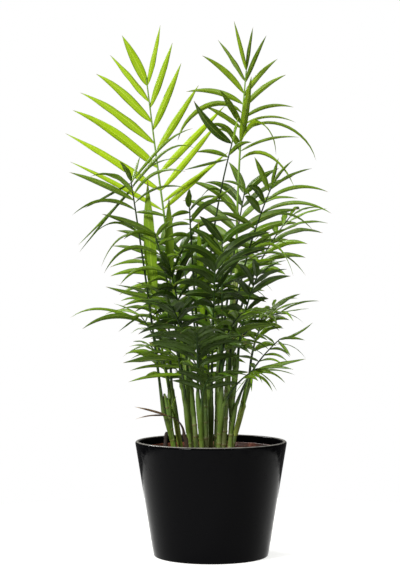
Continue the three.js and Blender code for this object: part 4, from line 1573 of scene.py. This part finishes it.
@dataclass
class Cane:
    """One cane: where it stands and how thick it is, read from its solid."""

    node: str
    root: Vector
    head: Vector
    foot_radius: float
    head_radius: float
    foot_flare: float = 1.12
    bow: float = 0.5  # the most, in millimetres
    ring_gap: tuple[float, float] = (11, 19)  # least and most, in millimetres
    ring_height: float = 1.5 * MM
    ring_swell: float = 0.16  # of the radius

    @classmethod
    def read(cls, node: str) -> "Cane":
        """Reads a cane from the ring of corners at each of its ends.

        Args:
            node: The cane's node.

        Returns:
            The cane.
        """
        reader = SolidReader(node)
        corners = sorted((corner.co.copy() for corner in reader.mesh.verts), key=lambda spot: spot.z)
        reader.mesh.free()
        ends = []
        for ring in (corners[:8], corners[-8:]):
            middle = sum(ring, Vector()) / len(ring)
            ends.append((middle, (ring[0] - middle).length))
        return cls(node, ends[0][0], ends[1][0], ends[0][1], ends[1][1])

    def direction(self) -> Vector:
        """Gives the direction in which it grows."""
        return (self.head - self.root).normalized()

    def nearest(self, point: Vector) -> Vector:
        """Gives the point of its axis nearest to a point.

        Args:
            point: The point.

        Returns:
            The nearest point, no further than the cane's ends.
        """
        along = self.direction()
        reach = min(max((point - self.root).dot(along), 0.0), (self.head - self.root).length)
        return self.root + along * reach

    def build(self, tree: GrowthTree, skin: bpy.types.Material, slot: str) -> bpy.types.Object:
        """Builds and dresses the cane, a little bowed between its ends as a grown cane is.

        Args:
            tree: The tree that sweeps a cane.
            skin: Its material.
            slot: The name of that material's slot in the CAD model; not used.

        Returns:
            The piece.
        """
        chance = random.Random(self.node)
        length = (self.head - self.root).length
        sideways = self.direction().cross(UP).normalized()
        bow = chance.uniform(-self.bow, self.bow) * MM
        line = LineMesh()
        steps = [i / 8 for i in range(9)]
        line.add([
            self.root.lerp(self.head, s) + sideways * bow * math.sin(math.pi * s * 2) for s in steps
        ], {}, {})
        piece = tree.grow(self.node + "_grown", line.mesh(self.node), {
            "Finish": skin,
            "Foot radius": self.foot_radius * self.foot_flare,
            "Head radius": self.head_radius,
            "Ring gap": min(chance.uniform(*self.ring_gap) * MM, length / 2),
            "Ring height": self.ring_height,
            "Ring swell": self.ring_swell,
        })
        return standing_for(piece, self.node)


@dataclass
class Frond:
    """One feather-shaped leaf: a stalk that sheathes its cane, and leaflets along both sides."""

    node: str
    look: FrondLook
    fold: float = 0.42
    thickness: float = 0.05
    ripple: float = 0.13
    blade_stations: int = 14
    stalk_stations: int = 22
    twist: float = 16.0  # the most that a blade turns from root to point, in degrees
    sheath_length: float = 34 * MM
    sheath_shares: tuple[float, ...] = (1.0, 0.85, 0.65, 0.45, 0.28, 0.12)  # of its length, going up

    def sheath(self, stalk: Stalk, canes: list[Cane]) -> list[tuple[Vector, float]]:
        """Works out the sheath below the stalk, which wraps into the nearest cane.

        Args:
            stalk: The frond's stalk.
            canes: The canes of the clump.

        Returns:
            Points and radii from its lowest end up to the stalk's foot.
        """
        foot = stalk.path.at(0.0)
        cane = min(canes, key=lambda one: (one.nearest(foot) - foot).length)
        base = stalk.radius(0.0)
        made = []
        for share in self.sheath_shares:
            down = foot - cane.direction() * self.sheath_length * share
            axis = cane.nearest(down)
            middle = down.lerp(axis, 0.35 + 0.6 * share)
            made.append((middle, base * (1.25 - 0.2 * abs(share - 0.45)) + 0.2 * MM))
        return made

    def add_stalk(self, lines: LineMesh, stalk: Stalk, canes: list[Cane], tone: float) -> None:
        """Adds the stalk and its sheath as one line.

        Args:
            lines: The frond's lines.
            stalk: The frond's stalk.
            canes: The canes of the clump.
            tone: The frond's own shade, 0 to 1.
        """
        sheath = self.sheath(stalk, canes)
        shares = [i / self.stalk_stations for i in range(self.stalk_stations + 1)]
        points = [point for point, _ in sheath] + [stalk.path.at(s) for s in shares]
        girths = [radius for _, radius in sheath] + [stalk.radius(s) for s in shares]
        alongs = [-1 + i / len(sheath) for i in range(len(sheath))] + shares
        count = len(points)
        lines.add(points, {
            "girth": girths, "along": alongs, "tone": [tone] * count, "is_stalk": [1.0] * count,
        }, {"widthways": [Vector((1, 0, 0))] * count, "upper": [UP] * count})

    def add_blade(self, lines: LineMesh, blade: Blade, chance: random.Random) -> None:
        """Adds one leaflet's midrib as a line.

        Args:
            lines: The frond's lines.
            blade: The leaflet.
            chance: The frond's own source of chance.
        """
        twist = math.radians(chance.uniform(-self.twist, self.twist))
        tone = chance.random()
        count = self.blade_stations
        shares = [i / (count - 1) for i in range(count)]
        points, widthways, uppers = [], [], []
        for share in shares:
            along = blade.midrib.along(share)
            upper = (blade.upper - along * blade.upper.dot(along)).normalized()
            turned = upper * math.cos(twist * share) + along.cross(upper) * math.sin(twist * share)
            points.append(blade.midrib.at(share))
            widthways.append(turned.cross(along))
            uppers.append(turned)
        lines.add(points, {
            "girth": [blade.half_width * Blade.outline(share) for share in shares],
            "along": shares, "tone": [tone] * count, "is_stalk": [0.0] * count,
        }, {"widthways": widthways, "upper": uppers})

    def build(
        self, tree: GrowthTree, canes: list[Cane], finishes: tuple[bpy.types.Material, ...], slot: str
    ) -> bpy.types.Object:
        """Builds and dresses the frond.

        Args:
            tree: The tree that sweeps a frond.
            canes: The canes of the clump.
            finishes: The blade's and the stalk's materials.
            slot: The name of the blade material's slot in the CAD model; not used.

        Returns:
            The piece.
        """
        reader = SolidReader(self.node)
        stalk = Stalk.read(reader)
        chance = random.Random(self.node)
        lines = LineMesh()
        self.add_stalk(lines, stalk, canes, chance.random())
        for point in reader.points():
            self.add_blade(lines, Blade.read(reader, point, stalk), chance)
        reader.mesh.free()
        piece = tree.grow(self.node + "_grown", lines.mesh(self.node), {
            "Blade finish": finishes[0], "Stalk finish": finishes[1],
            "Fold": self.fold, "Thickness": self.thickness, "Ripple": self.ripple,
        })
        return standing_for(piece, self.node)


@dataclass
class Spear:
    """A frond that has not opened: a stalk that widens into a pleated blade."""

    node: str
    pleats: int = 7
    pleat_depth: float = 0.34
    stations: int = 34
    point_radius: float = 0.3 * MM
    thickest: float = 1.5 * MM  # the blade's greatest half thickness
    tone: float = 0.7

    def rings(self) -> list[list[Vector]]:
        """Reads the solid's rings of corners.

        Returns:
            The corners of each ring, from the spear's point back to its foot.
        """
        reader = SolidReader(self.node)
        tip = max(reader.mesh.verts, key=lambda corner: corner.co.z)
        layers, seen = [[tip]], {tip}
        while True:
            near = {edge.other_vert(corner) for corner in layers[-1] for edge in corner.link_edges} - seen
            if not near:
                break
            layers.append(sorted(near, key=lambda corner: tuple(corner.co)))
            seen |= near
        rings = [[corner.co.copy() for corner in layer] for layer in layers]
        reader.mesh.free()
        return rings

    def build(self, tree: GrowthTree, finish: bpy.types.Material) -> bpy.types.Object:
        """Builds and dresses the spear.

        Args:
            tree: The tree that sweeps a spear.
            finish: Its material.

        Returns:
            The piece.
        """
        rings = self.rings()
        middles = [sum(ring, Vector()) / len(ring) for ring in rings][::-1]
        spans = []
        for ring in rings[::-1]:
            pairs = sorted(((a - b).length, a, b) for a in ring for b in ring) if len(ring) == 4 else None
            spans.append(pairs)
        widths = [pairs[-1][0] / 2 if pairs else self.point_radius for pairs in spans]
        wide = next(pairs for pairs in reversed(spans) if pairs)
        across = (wide[-1][2] - wide[-1][1]).normalized()
        steps = numpy.cumsum([0.0, *((b - a).length for a, b in zip(middles, middles[1:]))])
        shares = list(steps / steps[-1])
        path = SmoothPath(middles, shares, bends=2)
        thick = [min(width, self.thickest) for width in widths]
        at = [i / (self.stations - 1) for i in range(self.stations)]
        girths = numpy.interp(at, shares, widths)
        thicks = numpy.interp(at, shares, thick)
        lines = LineMesh()
        widthways, uppers = [], []
        for share in at:
            along = path.along(share)
            side = (across - along * across.dot(along)).normalized()
            widthways.append(side)
            uppers.append(along.cross(side))
        lines.add([path.at(share) for share in at], {
            "girth": [max(float(girth), self.point_radius) for girth in girths],
            "flatness": [min(float(t / g), 1.0) for t, g in zip(thicks, girths)],
            "along": at, "tone": [self.tone] * len(at),
        }, {"widthways": widthways, "upper": uppers})
        piece = tree.grow(self.node + "_grown", lines.mesh(self.node), {
            "Finish": finish, "Pleats": self.pleats, "Pleat depth": self.pleat_depth,
        })
        return standing_for(piece, self.node)


@dataclass
class Palm:
    """The whole plant: its canes, fronds and unopened spears."""

    living: LivingCane = LivingCane()
    dead: LivingCane = LivingCane("dry_cane", "#1f1610", "#382a1e", "#1c130c", "#120c08", roughness=0.85)

    @staticmethod
    def named(start: str) -> list[str]:
        """Lists the nodes whose names start in a given way."""
        return sorted(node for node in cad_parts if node.startswith(start))

    def build(self) -> list[bpy.types.Object]:
        """Builds every cane, frond and spear.

        Returns:
            The pieces.
        """
        looks = {look: tuple(finish.material() for finish in look.value) for look in FrondLook}
        skin, dry_skin = self.living.material(), self.dead.material()
        canes = [Cane.read(node) for node in self.named("cane_")]
        sweep = cane_tree()
        pieces = [cane.build(sweep, skin, "cane") for cane in canes]
        pieces.append(Cane.read("dry_stub").build(sweep, dry_skin, "dry_leaf"))
        feather = frond_tree()
        for node in [*self.named("frond_"), "dry_frond"]:
            look = LOOK_OF_FROND.get(node, FrondLook.GROWN)
            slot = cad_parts[node].data.materials[0].name
            pieces.append(Frond(node, look).build(feather, canes, looks[look], slot))
        pleated, blade = spear_tree(), looks[FrondLook.YOUNG][0]
        return pieces + [Spear(node).build(pleated, blade) for node in self.named("spear_")]


# ---------------------------------------------------------------- studio


@dataclass
class Studio:
    """A round pale floor in a white room, soft lights and the camera."""

    floor: PaleFloor
    radius: float = 0.5
    room: float = 0.15  # how bright the room is as a light
    backdrop: float = 1.0  # how bright it looks behind the plant
    reflected: float = 0.08  # how bright it is as a reflection
    camera_height: float = 0.302
    camera_distance: float = 1.84
    camera_aside: float = -0.0123
    lens: float = 103.9
    aim_height: float = 0.3  # where on the plant the lights point

    def build(self) -> None:
        """Builds the floor, the lights, the room and the camera."""
        self.lay_floor()
        self.light("key", (-1.5, -1.7, 1.5), 0.6, 104.0)
        self.light("fill", (1.7, -1.6, 0.7), 1.0, 12.0)
        self.light("crown", (-1.2, 1.1, 1.7), 0.8, 46.0)
        self.light("top", (0.3, -0.1, 2.3), 1.0, 38.0)
        self.paint_room()
        self.place_camera()

    def lay_floor(self) -> None:
        """Lays the round floor under the pot."""
        mesh = bmesh.new()
        bmesh.ops.create_circle(mesh, cap_ends=True, radius=self.radius, segments=64)
        flat = bpy.data.meshes.new("studio_floor")
        mesh.to_mesh(flat)
        mesh.free()
        flat.materials.append(self.floor.material())
        floor = bpy.data.objects.new("studio_floor", flat)
        bpy.context.scene.collection.objects.link(floor)

    def paint_room(self) -> None:
        """Makes the room: white behind the plant, dim as a light and dimmer still in what is glossy."""
        world = bpy.data.worlds.new("white_room")
        world.use_nodes = True
        tree = world.node_tree
        tree.nodes.clear()
        path = put(tree, "ShaderNodeLightPath").node.outputs
        seen, mirrored = path["Is Camera Ray"], path["Is Glossy Ray"]
        lighting = put(tree, "ShaderNodeBackground", {"Strength": self.room})
        backdrop = put(tree, "ShaderNodeBackground", {"Strength": self.backdrop})
        dark = put(tree, "ShaderNodeBackground", {"Strength": self.reflected})
        for background in (lighting, backdrop, dark):
            background.node.inputs["Color"].default_value = (1.0, 1.0, 1.0, 1.0)
        lighting = put(tree, "ShaderNodeMixShader", {0: mirrored, 1: lighting, 2: dark})
        both = put(tree, "ShaderNodeMixShader", {0: seen, 1: lighting, 2: backdrop})
        put(tree, "ShaderNodeOutputWorld", {"Surface": both})
        bpy.context.scene.world = world
        bpy.context.scene.view_settings.view_transform = "Standard"

    def place_camera(self) -> None:
        """Places the camera level with the plant's middle."""
        lens = bpy.data.cameras.new("camera")
        lens.lens = self.lens
        camera = bpy.data.objects.new("camera", lens)
        camera.location = (self.camera_aside, -self.camera_distance, self.camera_height)
        camera.rotation_euler = (math.radians(90), 0, 0)
        bpy.context.scene.collection.objects.link(camera)
        bpy.context.scene.camera = camera

    def light(self, name: str, place: Axes, size: float, power: float) -> None:
        """Adds one square area light that points at the plant.

        Args:
            name: The light's name.
            place: Where it hangs.
            size: Its side, in metres.
            power: Its power, in watts.
        """
        lamp = bpy.data.lights.new(name, "AREA")
        lamp.size, lamp.energy = size, power
        made = bpy.data.objects.new(name, lamp)
        made.location = place
        beam = Vector((0, 0, self.aim_height)) - Vector(place)
        made.rotation_euler = beam.to_track_quat("-Z", "Y").to_euler()
        bpy.context.scene.collection.objects.link(made)


def main() -> None:
    """Builds the studio, the pots and the palm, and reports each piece."""
    logging.basicConfig(level=logging.INFO, format="%(name)s: %(message)s")
    Studio(PaleFloor()).build()
    pieces = [
        Cachepot(GlazedStoneware()).build(),
        NurseryPot(MouldedPolypropylene()).build(drainage_tree()),
        MixMound(PottingMix()).build(litter_tree()),
        *Palm().build(),
    ]
    for piece in pieces:
        LOG.info("%s: %d faces", piece.name, len(piece.data.polygons))


if __name__ == "__main__":
    main()
